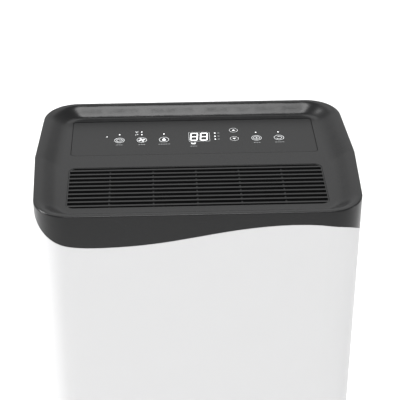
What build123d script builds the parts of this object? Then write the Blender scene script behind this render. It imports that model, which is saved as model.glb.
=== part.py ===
"""A portable compressor dehumidifier, built as the separate pieces it comes apart into.

Millimetres, +Z up. The origin is on the floor under the middle of the casing; the front faces -Y.
Air enters through the rear intake, crosses the evaporator and the condenser, and a centrifugal fan
blows it up through the outlet grille in the dished top. Water falls from the drip tray into a
tank that pulls out at the front, or leaves through the rear drain spigot.
"""

import os
from math import cos, pi, radians, sin, tan

from build123d import *

os.makedirs("parts", exist_ok=True)

# ------------------------------------------------------------------ driving dimensions
# Casing
height = 600.0  # floor to the top of the rim
body_width = 384.0  # across the parting plane, the widest place
body_depth = 268.0
front_taper = 2.7  # degrees that the side walls close in towards the front
rear_taper = 3.0
front_corner = 40.0
rear_corner = 42.0
wall = 2.5  # casing shells and most mouldings
seam = 0.4  # visible gap between two mouldings
fit = 0.3  # gap where one piece seats on or in another
tongue = 8.0  # the rear shell's tongue reaches this far into the front shell

# Dished top
rim_width = 4.5
rim_rounding = 1.8
dish_depth = 13.7
dish_side = 26.0  # how far the sloping flank reaches in from the rim, at the sides
dish_front = 22.0
dish_back = 13.0
dish_corner = 20.0
flank_slope = 0.35  # how steeply the flank leaves the rim
floor_plate = 2.5
skirt_wall = 4.6
lip_drop = 8.0  # the cover's lip reaches this far down inside the shells

# Wavy lower edge of the top cover, as drops below the rim
wave_low = 42.7
wave_low_x = -111.0
wave_high = 17.1
wave_high_x = 101.0
wave_left = 13.0  # where it meets the left side wall
wave_right = 43.0
wave_back = 26.0

# Outlet grille and control panel, both in the dish floor
outlet_width = 303.0
outlet_length = 91.0
outlet_y = -51.0
outlet_corner = 9.0
slat_count = 10
slat_pitch = 8.7
slat_width = 3.0
slat_height = 11.0
rib_count = 5
rib_pitch = 51.0
rib_width = 2.0
rib_drop = 1.6
grille_border = 6.0  # flange under the dish floor
grille_frame = 1.2
panel_width = 303.0
panel_length = 85.5
panel_y = 66.0
panel_corner = 4.0
panel_thickness = 1.2
display_x = 7.1
display_y = 66.0
display_width = 27.0
display_length = 24.0
display_height = 7.0  # from the control board to the underside of the dish floor
board_thickness = 1.6
board_margin = 9.0
boss_radius = 3.5
boss_x = 135.0
boss_y = 29.0

# Base and castors
base_bottom = 20.0
base_floor = 33.0
base_plate = 3.0
shell_bottom = 48.0
base_inset = 0.6
base_upstand = 14.0
castor_x = 132.0
castor_y = 86.0
wheel_radius = 13.0
wheel_width = 14.0
wheel_rounding = 3.0
wheel_clearance = 0.08
axle_radius = 2.0
castor_trail = 7.0
cheek = 2.5
cheek_gap = 0.5
cheek_width = 13.0
crown_radius = 11.0
crown_gap = 2.0  # over the tread
crown_thickness = 3.0
stem_radius = 4.0
stem_clearance = 0.08
socket_radius = 9.0
socket_height = 14.0

# Water tank and its bay
tank_half = 138.0
tank_wall = 2.0
tank_depth = 118.0
tank_height = 168.0
tank_corner = 15.0
tank_front_half = 143.0
tank_front_sill = 5.0  # above the lower edge of the shells
tank_front_top = 264.0
tank_front_thickness = 9.5
tank_front_corner = 10.0
tank_front_edge = 0.6
finger_width = 110.0
finger_height = 28.0
finger_depth = 20.0
finger_drop = 8.0  # below the top of the tank front
finger_wall = 2.0
window_width = 15.0
window_height = 118.0
window_thickness = 3.0
window_sink = 0.6
rail_height = 18.0
rail_width = 8.0
rail_x = 100.0
lid_thickness = 2.5
lid_rim = 4.0
drip_inlet = 16.0
pour_width = 56.0
pour_length = 24.0
handle_arm = 40.0
handle_bar = 6.0
handle_plate = 3.0
handle_width = 11.0
handle_gap = 0.4
handle_lift = 22.0  # degrees that the folded handle stands above the horizontal
pivot_radius = 3.0
pivot_clearance = 0.08
pivot_drop = 8.0
float_x = 60.0
float_width = 34.0
float_length = 30.0
float_height = 26.0
float_rounding = 3.0
float_arm = 26.0
float_drop = 32.0
float_pin = 2.5
float_sleeve = 5.0
float_neck = 4.0
float_ear = 12.0  # from the tank's rear wall to the float's pin
magnet_radius = 4.0
magnet_length = 5.0
sensor_size = 16.0
bay_half = 150.0
bay_rear = 2.0
deck_bottom = 270.0
deck_thickness = 3.0
spout_x = -40.0
spout_y = -25.0
spout_radius = 7.0
spout_bore = 5.0
spout_drop = 8.0

# Refrigerant circuit
tray_half = 144.0
tray_height = 12.0
tray_wall = 2.0
tray_margin = 4.0
trough_width = 22.0
coil_half = 122.0
coil_tubes = 10
coil_pitch = 24.0
coil_lift = 7.0  # fins above the deck
coil_stub = 10.0
tube_radius = 3.5
tube_clearance = 0.15
evaporator_thickness = 20.0
evaporator_back = 21.0  # from the casing's back to the evaporator
condenser_thickness = 38.0
condenser_row = 18.0
coil_gap = 10.0
fin_pitch = 6.0
fin_slot = 3.6
fin_slot_depth = 5.0
end_plate = 1.5
end_plate_gap = 1.0  # between an end plate and the tray's walls
compressor_radius = 50.0
compressor_height = 180.0
compressor_side = 38.0  # X of the side that faces the accumulator
compressor_y = 68.0
compressor_dome = 16.0
compressor_port = 30.0
port_length = 4.0
grommet_radius = 7.0
grommet_height = 12.0
foot_reach = 10.0  # from the compressor's side to the middle of a foot
foot_plate = 3.0
stud_radius = 2.5
nut_radius = 4.5
nut_height = 4.0
accumulator_radius = 25.0
accumulator_height = 120.0
accumulator_gap = 3.0
accumulator_lift = 34.0
terminal_radius = 16.0
terminal_rounding = 3.0
pipe_bend = 7.0
riser_x = 158.0
suction_riser_x = 167.0
pipe_level = 250.0
capillary_radius = 1.3
drier_radius = 7.0
drier_length = 55.0
drier_x = 152.0

# Fan
fan_z = 430.0
fan_radius = 78.0
fan_width = 66.0
fan_front = -80.0
fan_plate = 2.0
blade_count = 32
blade_depth = 14.0
blade_thickness = 1.4
hub_radius = 10.0
hub_front = 5.0  # how far the hub stands proud of the wheel's plate
hub_back = 22.0
end_ring = 3.0
blade_pitch_angle = 25.0
scroll_start = 86.0
scroll_end = 126.0
scroll_cutoff = 80.0  # degrees above the level where the scroll begins
scroll_back = -1.0
scroll_front = -98.0
inlet_radius = 61.0
inlet_length = 9.0
motor_radius = 42.0
motor_length = 28.0
motor_rounding = 4.0
shaft_seat = 4.0  # depth of metal behind the shaft's end in the motor
shaft_radius = 4.0
shaft_clearance = 0.05

# Intake at the back
intake_half = 131.0
intake_bottom = 306.0
intake_top = 540.0
intake_corner = 10.0
intake_depth = 8.0
intake_border = 9.0
louvre_pitch = 9.0
louvre_thickness = 1.8
louvre_depth = 6.0
intake_rib_pitch = 60.0
filter_thickness = 4.5
filter_bar = 3.0
filter_pitch = 58.0
mesh_thickness = 0.6
ledge = 5.0
ledge_thickness = 2.0

# Side grips
cup_length = 104.0
cup_height = 34.0
cup_depth = 22.0
cup_wall = 2.2
cup_corner = 8.0
cup_z = 452.0

# Drain and cable outlet at the back
pocket_depth = 12.0
outlet_x = -112.0  # of the drain spigot and the cable gland
drain_z = 244.0
drain_drop_y = 96.0
drain_pocket = 19.0
drain_pipe_radius = 8.5
drain_bend = 10.5
spigot_radius = 8.0
spigot_bore = 5.5
spigot_length = 8.0
bung_clearance = 0.1
bung_radius = 7.6
bung_head = 2.5
bung_length = 7.0
gland_z = 84.0
gland_pocket = 16.0
gland_radius = 7.0
gland_flange = 11.0
gland_flange_thickness = 3.0
gland_nose = 8.0
gland_bore = 3.7

# Electrics and fixings
box_width = 84.0
box_height = 126.0
box_depth = 30.0
box_x = -100.0
box_z = 150.0
box_wall = 2.0
box_standoff = 6.0
box_corner = 4.0
box_boss_inset = 20.0
board_gap = 2.0  # round the main board
board_corner = 1.0
board_components = (  # relay, transformer and capacitor: X and Z on the board, width, height, depth
    (-18.0, 32.0, 26.0, 22.0, 16.0),
    (14.0, 28.0, 34.0, 30.0, 18.0),
    (4.0, -26.0, 50.0, 18.0, 18.0),
)
screw_x = 136.0
screw_head = 3.6
screw_shank = 1.9
screw_recess = 2.0
screw_length = 12.0
screw_boss = 5.0

# ------------------------------------------------------------------ places worked out from them
front_y = -body_depth / 2
rear_y = body_depth / 2
front_half = body_width / 2 - body_depth / 2 * tan(radians(front_taper))
rear_half = body_width / 2 - body_depth / 2 * tan(radians(rear_taper))
floor_z = height - dish_depth
under_floor = floor_z - floor_plate
pocket_floor = floor_z - panel_thickness - fit
grille_bottom = floor_z - fit - slat_height
cover_bottom = height - max(wave_low, wave_left, wave_right, wave_back) - lip_drop - 1
deck_top = deck_bottom + deck_thickness
base_top = base_floor + base_plate
tank_bottom = base_top + rail_height + fit
tank_top = tank_bottom + tank_height
tank_front_y = front_y + tank_front_thickness
tank_rear_y = tank_front_y + tank_depth
tank_middle_y = (tank_front_y + tank_rear_y) / 2
tank_front_bottom = shell_bottom + tank_front_sill
pivot_z = tank_top - pivot_drop
float_z = tank_top - float_drop
float_y = tank_rear_y - tank_wall - float_ear
intake_z = (intake_bottom + intake_top) / 2
intake_tall = intake_top - intake_bottom
filter_front = rear_y - intake_depth - fit - filter_thickness
sleeve_front = filter_front - fit - ledge_thickness
bay_inset = 2 * (wall + fit)  # the bay stands inside the base pan's upstand
evaporator_y = rear_y - evaporator_back - evaporator_thickness / 2
condenser_y = evaporator_y - evaporator_thickness / 2 - coil_gap - condenser_thickness / 2
coil_bottom = deck_top + coil_lift
coil_height = coil_tubes * coil_pitch
tray_front = condenser_y - condenser_thickness / 2 - tray_margin - tray_wall
tray_back = evaporator_y + evaporator_thickness / 2 + tray_margin + tray_wall
foot_bottom = base_top + grommet_height
compressor_bottom = foot_bottom + foot_plate
compressor_top = compressor_bottom + compressor_height
compressor_x = compressor_side + compressor_radius
foot_circle = compressor_radius + foot_reach
accumulator_x = compressor_side - accumulator_gap - accumulator_radius
accumulator_bottom = base_top + accumulator_lift
cup_floor = body_width / 2 - cup_depth - cup_wall
pocket_y = rear_y - pocket_depth
deck_screw_z = deck_bottom - 2
base_screw_z = shell_bottom + base_upstand / 2
reach = 20.0  # how far a cutting tool runs past what it cuts


def save(part, name):
    """Labels a finished sub-part and writes it as parts/NAME.step."""
    part.label = name
    export_step(part, f"parts/{name}.step")


def between(start, end, share):
    """The value a share of the way from start to end."""
    return start + (end - start) * share


def barrel(half_front, half_middle, half_rear, y_front, y_rear, r_front, r_rear):
    """Plan of the casing: widest at the parting plane Y = 0, closing in to both ends."""
    with BuildSketch(mode=Mode.PRIVATE) as plan:
        with BuildLine():
            Polyline(
                (-half_front, y_front),
                (half_front, y_front),
                (half_middle, 0),
                (half_rear, y_rear),
                (-half_rear, y_rear),
                (-half_middle, 0),
                close=True,
            )
        make_face()
        fillet(plan.vertices().group_by(Axis.Y)[0], r_front)
        fillet(plan.vertices().group_by(Axis.Y)[-1], r_rear)
    return plan.sketch


def casing_plan(inset):
    """The casing's plan at a distance inside its outer skin."""
    return barrel(
        front_half - inset,
        body_width / 2 - inset,
        rear_half - inset,
        front_y + inset,
        rear_y - inset,
        front_corner - inset,
        rear_corner - inset,
    )


def casing_solid(inset, bottom, top):
    """The casing's plan as a prism."""
    with BuildPart(mode=Mode.PRIVATE) as prism:
        with BuildSketch(Plane.XY.offset(bottom)):
            add(casing_plan(inset))
        extrude(amount=top - bottom)
    return prism.part


def dish_solid():
    """The hollow of the dished top.

    The flank leaves the rim at a slight slope, is steepest half way and runs out level.
    """
    sections = 8
    with BuildPart(mode=Mode.PRIVATE) as hollow:
        for step in range(sections):
            share = step / (sections - 1)
            fall = flank_slope * share * (share - 1) ** 2 + share**2 * (3 - 2 * share)
            side = rim_width + dish_side * share
            front = rim_width + dish_front * share
            back = rim_width + dish_back * share
            with BuildSketch(Plane.XY.offset(height - dish_depth * fall)):
                add(
                    barrel(
                        front_half - side,
                        body_width / 2 - side,
                        rear_half - side,
                        front_y + front,
                        rear_y - back,
                        between(front_corner - rim_width, dish_corner, share),
                        between(rear_corner - rim_width, dish_corner, share),
                    )
                )
        loft()
        with BuildSketch(Plane.XY.offset(height)):
            add(casing_plan(rim_width))
        extrude(amount=reach)
    return hollow.part


def under_front_wave(drop):
    """Everything in front of the parting plane and under the top cover's lower edge, lowered by drop.

    Across the front and round its corners the edge is a wave, and along each side wall it is level.
    """
    corner = front_half - front_corner
    side = body_width / 2 + reach
    left = height - wave_left - drop
    right = height - wave_right - drop
    low = height - wave_low - drop
    high = height - wave_high - drop
    with BuildPart(mode=Mode.PRIVATE) as under:
        with BuildSketch(Plane.XZ.offset(-seam / 2)):
            with BuildLine():
                wave = Spline(
                    (-front_half - 1, left),
                    (-corner - 0.66 * front_corner, left - 18),
                    (-corner - 0.1 * front_corner, low + 2.8),
                    (wave_low_x, low),
                    (wave_low_x + 67, low + 5.2),
                    (wave_high_x - 61, high - 5.7),
                    (wave_high_x, high),
                    (corner + 0.05 * front_corner, high - 2.6),
                    (corner + 0.66 * front_corner, high - 10.2),
                    (front_half + 1, right),
                )
                Polyline(wave @ 1, (side, right), (side, -reach), (-side, -reach), (-side, left), wave @ 0)
            make_face()
        extrude(amount=body_depth / 2 + reach)
    return under.part


def under_rear_wave(drop):
    """Everything behind the parting plane and under the top cover's lower edge, lowered by drop.

    The edge runs evenly along each side wall to one level at the back.
    """
    side = body_width / 2 + reach
    with BuildPart(mode=Mode.PRIVATE) as under:
        for y, left, right in ((0, wave_left, wave_right), (rear_y + 1, wave_back, wave_back)):
            with BuildSketch(Plane.XZ.offset(-y)):
                with BuildLine():
                    Polyline(
                        (-side, height - left - drop),
                        (side, height - right - drop),
                        (side, -reach),
                        (-side, -reach),
                        close=True,
                    )
                make_face()
        loft(ruled=True)
    return under.part


def upright_slab(x, z, width, tall, y, thickness, radius):
    """A slab standing across Y with rounded corners, from y back to y + thickness."""
    with BuildPart(mode=Mode.PRIVATE) as slab:
        with BuildSketch(Plane.XZ.offset(-y)):
            with Locations((x, z)):
                RectangleRounded(width, tall, radius)
        extrude(amount=-thickness)
    return slab.part


def block(x_range, y_range, z_range):
    """A box between pairs of limits."""
    with BuildPart(mode=Mode.PRIVATE) as box:
        with BuildSketch(Plane.XY.offset(z_range[0])):
            with Locations(((x_range[0] + x_range[1]) / 2, (y_range[0] + y_range[1]) / 2)):
                Rectangle(x_range[1] - x_range[0], y_range[1] - y_range[0])
        extrude(amount=z_range[1] - z_range[0])
    return box.part


def rod(axis, centre, radius, start, end):
    """A cylinder along X, Y or Z from start to end, through a centre in the other two."""
    plane = {
        "X": Plane(origin=(start, centre[0], centre[1]), z_dir=(1, 0, 0)),
        "Y": Plane(origin=(centre[0], start, centre[1]), z_dir=(0, 1, 0)),
        "Z": Plane(origin=(centre[0], centre[1], start), z_dir=(0, 0, 1)),
    }[axis]
    with BuildPart(mode=Mode.PRIVATE) as cylinder:
        with BuildSketch(plane):
            Circle(radius)
        extrude(amount=end - start)
    return cylinder.part


def pipe(radius, corners, bend):
    """A tube run through corner points, with the same bend at each inner corner."""
    with BuildPart(mode=Mode.PRIVATE) as run:
        with BuildLine() as route:
            FilletPolyline(*corners, radius=bend)
        with BuildSketch(Plane(origin=route.wire() @ 0, z_dir=route.wire() % 0)):
            Circle(radius)
        sweep()
    return run.part


def grip_block(side, shrink, floor_x):
    """A rounded block through the side wall at a carrying grip, from floor_x outwards."""
    with BuildPart(mode=Mode.PRIVATE) as grip:
        with BuildSketch(Plane.YZ.offset(side * floor_x)):
            with Locations((0, cup_z)):
                RectangleRounded(cup_length - 2 * shrink, cup_height - 2 * shrink, cup_corner - shrink)
        extrude(amount=side * (body_width / 2 + reach - floor_x))
    return grip.part


def half_casing(side):
    """The space of the front (-1) or rear (1) shell, on its side of the parting plane."""
    edges = sorted((side * seam / 2, side * (body_depth / 2 + reach)))
    return block((-body_width, body_width), edges, (-reach, height + reach))


# ------------------------------------------------------------------ top cover
with BuildPart() as cover_lip:
    add(casing_solid(wall + fit, cover_bottom, under_floor + floor_plate / 2))
    add(under_front_wave(lip_drop), mode=Mode.SUBTRACT)
    add(under_rear_wave(lip_drop), mode=Mode.SUBTRACT)

with BuildPart() as top_cover:
    add(casing_solid(0, cover_bottom, height))
    fillet(top_cover.faces().sort_by(Axis.Z)[-1].edges(), rim_rounding)
    # the skin ends at the wave, and a lip behind it reaches down into the shells
    add(under_front_wave(0), mode=Mode.SUBTRACT)
    add(under_rear_wave(0), mode=Mode.SUBTRACT)
    add(cover_lip.part)
    add(dish_solid(), mode=Mode.SUBTRACT)
    add(casing_solid(skirt_wall, cover_bottom - 1, under_floor), mode=Mode.SUBTRACT)
    # outlet opening, the shallow seat of the control panel and its display opening
    with BuildSketch(Plane.XY.offset(floor_z)):
        with Locations((0, outlet_y)):
            RectangleRounded(outlet_width, outlet_length, outlet_corner)
        with Locations((display_x, display_y)):
            Rectangle(display_width + 2 * seam, display_length + 2 * seam)
    extrude(amount=-2 * floor_plate, mode=Mode.SUBTRACT)
    with BuildSketch(Plane.XY.offset(floor_z)):
        with Locations((0, panel_y)):
            RectangleRounded(panel_width, panel_length, panel_corner)
    extrude(amount=pocket_floor - floor_z, mode=Mode.SUBTRACT)
    # bosses that carry the control board
    with BuildSketch(Plane.XY.offset(under_floor)):
        with Locations((0, panel_y)):
            with GridLocations(2 * boss_x, 2 * boss_y, 2, 2):
                Circle(boss_radius)
    extrude(amount=-display_height)
save(top_cover.part, "top_cover")

# ------------------------------------------------------------------ outlet grille
frame_width = outlet_width - 2 * fit
frame_length = outlet_length - 2 * fit
with BuildPart() as outlet_grille:
    with BuildSketch(Plane.XY.offset(under_floor)):
        with Locations((0, outlet_y)):
            RectangleRounded(
                outlet_width + 2 * grille_border,
                outlet_length + 2 * grille_border,
                outlet_corner + grille_border,
            )
            RectangleRounded(frame_width - grille_frame, frame_length - grille_frame, outlet_corner,
                             mode=Mode.SUBTRACT)
    extrude(amount=-wall)
    with BuildSketch(Plane.XY.offset(grille_bottom)):
        with Locations((0, outlet_y)):
            RectangleRounded(frame_width, frame_length, outlet_corner - fit)
            RectangleRounded(
                frame_width - 2 * grille_frame,
                frame_length - 2 * grille_frame,
                outlet_corner - fit - grille_frame,
                mode=Mode.SUBTRACT,
            )
            with GridLocations(0, slat_pitch, 1, slat_count):
                Rectangle(frame_width - grille_frame, slat_width)
    extrude(amount=slat_height)
    with BuildSketch(Plane.XY.offset(grille_bottom)):
        with Locations((0, outlet_y)):
            with GridLocations(rib_pitch, 0, rib_count, 1):
                Rectangle(rib_width, frame_length - grille_frame)
    extrude(amount=slat_height - rib_drop)
save(outlet_grille.part, "outlet_grille")

# ------------------------------------------------------------------ control panel and electronics
with BuildPart() as control_panel:
    with BuildSketch(Plane.XY.offset(pocket_floor)):
        with Locations((0, panel_y)):
            RectangleRounded(panel_width - 2 * seam, panel_length - 2 * seam, panel_corner - seam)
    extrude(amount=panel_thickness)
save(control_panel.part, "control_panel")

board_top = under_floor - display_height
with BuildPart() as display_board:
    with BuildSketch(Plane.XY.offset(board_top)):
        with Locations((0, panel_y)):
            Rectangle(panel_width - 2 * board_margin, panel_length - 2 * board_margin)
    extrude(amount=-board_thickness)
save(display_board.part, "display_board")

with BuildPart() as display_module:
    with BuildSketch(Plane.XY.offset(board_top)):
        with Locations((display_x, display_y)):
            Rectangle(display_width, display_length)
    extrude(amount=pocket_floor - board_top)
save(display_module.part, "display_module")

# ------------------------------------------------------------------ casing shells
with BuildPart() as front_shell:
    add(casing_solid(0, shell_bottom, height))
    add(casing_solid(wall, shell_bottom - 1, height + 1), mode=Mode.SUBTRACT)
    add(half_casing(-1), mode=Mode.INTERSECT)
    add(under_front_wave(seam), mode=Mode.INTERSECT)
    add(
        upright_slab(
            0,
            (tank_front_bottom + tank_front_top) / 2,
            2 * (tank_front_half + seam),
            tank_front_top - tank_front_bottom + 2 * seam,
            front_y - 1,
            wall + 2,
            tank_front_corner + seam,
        ),
        mode=Mode.SUBTRACT,
    )
    for side in (-1, 1):
        add(grip_block(side, -fit, cup_floor), mode=Mode.SUBTRACT)
save(front_shell.part, "front_shell")

tongue_bottom = shell_bottom + base_upstand + 1
tongue_top = cover_bottom - 1
with BuildPart() as tongue_band:
    add(casing_solid(wall + fit, tongue_bottom, tongue_top))
    add(casing_solid(wall, tongue_bottom, tongue_top) & half_casing(1))
    add(casing_solid(skirt_wall, 0, height), mode=Mode.SUBTRACT)
    add(block((-body_width, body_width), (-tongue, tongue), (0, height)), mode=Mode.INTERSECT)

with BuildPart() as rear_shell:
    add(casing_solid(0, shell_bottom, height))
    add(casing_solid(wall, shell_bottom - 1, height + 1), mode=Mode.SUBTRACT)
    add(half_casing(1), mode=Mode.INTERSECT)
    add(under_rear_wave(seam), mode=Mode.INTERSECT)
    add(tongue_band.part)
    # sleeve and ledge that hold the intake grille and its filter
    add(
        upright_slab(0, intake_z, 2 * (intake_half + wall), intake_tall + 2 * wall,
                     sleeve_front, rear_y - sleeve_front, intake_corner + wall)
    )
    add(
        upright_slab(0, intake_z, 2 * intake_half, intake_tall,
                     sleeve_front + ledge_thickness, reach * 2, intake_corner),
        mode=Mode.SUBTRACT,
    )
    add(
        upright_slab(0, intake_z, 2 * (intake_half - ledge), intake_tall - 2 * ledge,
                     sleeve_front - 1, reach, intake_corner - ledge),
        mode=Mode.SUBTRACT,
    )
    # pockets round the drain spigot and the cable gland
    for z, radius, hole in (
        (drain_z, drain_pocket, drain_pipe_radius),
        (gland_z, gland_pocket, gland_radius),
    ):
        add(rod("Y", (outlet_x, z), radius + wall, pocket_y - wall, rear_y))
        add(rod("Y", (outlet_x, z), radius, pocket_y, rear_y + 1), mode=Mode.SUBTRACT)
        add(rod("Y", (outlet_x, z), hole + fit, pocket_y - wall - 1, rear_y), mode=Mode.SUBTRACT)
    # screw holes
    for x in (-screw_x, screw_x):
        for z in (base_screw_z, deck_screw_z):
            add(rod("Y", (x, z), screw_shank + fit, rear_y - wall - 1, rear_y), mode=Mode.SUBTRACT)
            add(rod("Y", (x, z), screw_head + fit, rear_y - screw_recess, rear_y + 1), mode=Mode.SUBTRACT)
    for side in (-1, 1):
        add(grip_block(side, -fit, cup_floor), mode=Mode.SUBTRACT)
save(rear_shell.part, "rear_shell")

for side, name in ((-1, "left_grip_cup"), (1, "right_grip_cup")):
    with BuildPart() as grip_cup:
        add(grip_block(side, 0, cup_floor))
        add(casing_solid(0, cup_z - cup_height, cup_z + cup_height), mode=Mode.INTERSECT)
        add(grip_block(side, cup_wall, cup_floor + cup_wall), mode=Mode.SUBTRACT)
    save(grip_cup.part, name)

with BuildPart() as case_screws:
    for x in (-screw_x, screw_x):
        for z in (base_screw_z, deck_screw_z):
            add(rod("Y", (x, z), screw_head, rear_y - screw_recess, rear_y - seam))
            add(rod("Y", (x, z), screw_shank, rear_y - screw_recess - screw_length, rear_y - screw_recess))
save(case_screws.part, "case_screws")

# ------------------------------------------------------------------ base pan
boss_back = rear_y - wall - fit
with BuildPart() as upstand:
    add(casing_solid(wall + fit, shell_bottom - wall, shell_bottom + base_upstand))
    add(casing_solid(2 * wall + fit, 0, height), mode=Mode.SUBTRACT)

with BuildPart() as base_pan:
    add(casing_solid(base_inset, base_bottom, shell_bottom - seam))
    add(casing_solid(base_inset + wall, base_bottom - 1, shell_bottom), mode=Mode.SUBTRACT)
    add(casing_solid(base_inset + 1, base_floor, base_top))
    add(upstand.part)
    tank_gap = tank_front_half + seam + 1
    add(
        block((-tank_gap, tank_gap), (front_y - 1, tank_front_y), (tank_front_bottom - 1, height)),
        mode=Mode.SUBTRACT,
    )
    for x in (-rail_x, rail_x):
        add(block((x - rail_width / 2, x + rail_width / 2), (tank_front_y + 2, tank_rear_y),
                  (base_top, base_top + rail_height)))
    for x in (-screw_x, screw_x):
        add(rod("Y", (x, base_screw_z), screw_boss, boss_back - screw_length, boss_back))
        add(rod("Y", (x, base_screw_z), screw_shank, boss_back - screw_length, boss_back),
            mode=Mode.SUBTRACT)
    for x in (-castor_x, castor_x):
        for y in (-castor_y, castor_y):
            add(rod("Z", (x, y), socket_radius, base_floor, base_floor + socket_height))
            add(rod("Z", (x, y), stem_radius + stem_clearance, base_floor - 1, base_floor + socket_height),
                mode=Mode.SUBTRACT)
save(base_pan.part, "base_pan")

# ------------------------------------------------------------------ tank bay and deck
with BuildPart() as bay_room:
    add(casing_solid(bay_inset, base_top, deck_top))
    for x in (-screw_x, screw_x):
        add(rod("Y", (x, deck_screw_z), screw_boss, boss_back - screw_length, boss_back))

with BuildPart() as bay_frame:
    add(block((-bay_half - wall, bay_half + wall), (front_y, bay_rear + wall), (base_top, deck_top)))
    add(block((-bay_half, bay_half), (front_y - 1, bay_rear), (base_top, deck_bottom)), mode=Mode.SUBTRACT)
    add(casing_solid(bay_inset, deck_bottom, deck_top))
    for x in (-screw_x, screw_x):
        add(rod("Y", (x, deck_screw_z), screw_boss, boss_back - screw_length, boss_back))
        add(rod("Y", (x, deck_screw_z), screw_shank, boss_back - screw_length, boss_back),
            mode=Mode.SUBTRACT)
    add(bay_room.part, mode=Mode.INTERSECT)
    for x, y, radius in (
        (spout_x, spout_y, spout_radius + fit),
        (outlet_x, drain_drop_y, drain_pipe_radius + fit),
        (riser_x, condenser_y - condenser_row / 2, tube_radius + fit),
        (suction_riser_x, evaporator_y, tube_radius + fit),
    ):
        add(rod("Z", (x, y), radius, deck_bottom - 1, deck_top + 1), mode=Mode.SUBTRACT)
save(bay_frame.part, "bay_frame")

# ------------------------------------------------------------------ water tank
with BuildPart() as tank:
    with BuildSketch(Plane.XY.offset(tank_bottom)):
        with Locations((0, tank_middle_y)):
            RectangleRounded(2 * tank_half, tank_depth, tank_corner)
    extrude(amount=tank_height)
    with BuildSketch(Plane.XY.offset(tank_bottom + tank_wall)):
        with Locations((0, tank_middle_y)):
            RectangleRounded(2 * (tank_half - tank_wall), tank_depth - 2 * tank_wall,
                             tank_corner - tank_wall)
    extrude(amount=tank_height, mode=Mode.SUBTRACT)
    for side in (-1, 1):
        ends = sorted((side * (tank_half - 1), side * (tank_half + handle_gap + handle_plate + 1)))
        add(rod("X", (tank_middle_y, pivot_z), pivot_radius, *ends))
    # ears and pin of the float
    for side in (-1, 1):
        ear = float_x + side * (float_width / 2 + fit + wall / 2)
        add(
            block((ear - wall / 2, ear + wall / 2), (float_y - float_sleeve, tank_rear_y - 1),
                  (float_z - float_sleeve, float_z + float_sleeve))
        )
    add(rod("X", (float_y, float_z), float_pin, float_x - float_width / 2 - fit - 1,
            float_x + float_width / 2 + fit + 1))
save(tank.part, "tank")

front_middle_z = (tank_front_bottom + tank_front_top) / 2
finger_z = tank_front_top - finger_drop - finger_height / 2
window_z = (tank_bottom + tank_top) / 2
with BuildPart() as tank_front:
    add(
        upright_slab(0, front_middle_z, 2 * tank_front_half, tank_front_top - tank_front_bottom,
                     front_y, tank_front_thickness, tank_front_corner)
    )
    chamfer(tank_front.faces().sort_by(Axis.Y)[0].edges(), tank_front_edge)
    add(
        upright_slab(0, finger_z, finger_width + 2 * finger_wall, finger_height + 2 * finger_wall,
                     front_y + 2, finger_depth + finger_wall - 2, cup_corner)
    )
    add(
        upright_slab(0, finger_z, finger_width, finger_height, front_y - 1, finger_depth + 1,
                     cup_corner - finger_wall),
        mode=Mode.SUBTRACT,
    )
    add(
        upright_slab(0, window_z, window_width, window_height, front_y - 1,
                     tank_front_thickness + 2, window_width / 2 - 1),
        mode=Mode.SUBTRACT,
    )
save(tank_front.part, "tank_front")

with BuildPart() as tank_window:
    add(
        upright_slab(0, window_z, window_width - 2 * fit, window_height - 2 * fit,
                     front_y + window_sink, window_thickness, window_width / 2 - 1 - fit)
    )
save(tank_window.part, "tank_window")

pour_x = tank_half - tank_corner - pour_width / 2
pour_y = tank_front_y + 3 * tank_wall + pour_length / 2
with BuildPart() as tank_lid:
    with BuildSketch(Plane.XY.offset(tank_top)):
        with Locations((0, tank_middle_y)):
            RectangleRounded(2 * tank_half, tank_depth, tank_corner)
    extrude(amount=lid_thickness)
    with BuildSketch(Plane.XY.offset(tank_top)):
        with Locations((0, tank_middle_y)):
            RectangleRounded(2 * (tank_half - tank_wall - fit), tank_depth - 2 * (tank_wall + fit),
                             tank_corner - tank_wall - fit)
            RectangleRounded(2 * (tank_half - 2 * tank_wall - fit), tank_depth - 2 * (2 * tank_wall + fit),
                             tank_corner - 2 * tank_wall - fit, mode=Mode.SUBTRACT)
    extrude(amount=-lid_rim)
    with BuildSketch(Plane.XY.offset(tank_top)):
        with Locations((spout_x, spout_y)):
            Circle(drip_inlet)
        with Locations((pour_x, pour_y)):
            RectangleRounded(pour_width, pour_length, pour_length / 3)
    extrude(amount=lid_thickness, mode=Mode.SUBTRACT)
save(tank_lid.part, "tank_lid")

bar_y = tank_middle_y + handle_arm * cos(radians(handle_lift))
bar_z = pivot_z + handle_arm * sin(radians(handle_lift))
arm_inner = tank_half + handle_gap
with BuildPart() as tank_handle:
    for side in (-1, 1):
        with BuildSketch(Plane.YZ.offset(side * arm_inner)):
            with Locations(((tank_middle_y + bar_y) / 2, (pivot_z + bar_z) / 2)):
                SlotCenterToCenter(handle_arm, handle_width, rotation=handle_lift)
            with Locations((tank_middle_y, pivot_z)):
                Circle(pivot_radius + pivot_clearance, mode=Mode.SUBTRACT)
        extrude(amount=side * handle_plate)
    add(rod("X", (bar_y, bar_z), handle_bar / 2, -arm_inner - 1, arm_inner + 1))
save(tank_handle.part, "tank_handle")

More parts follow.
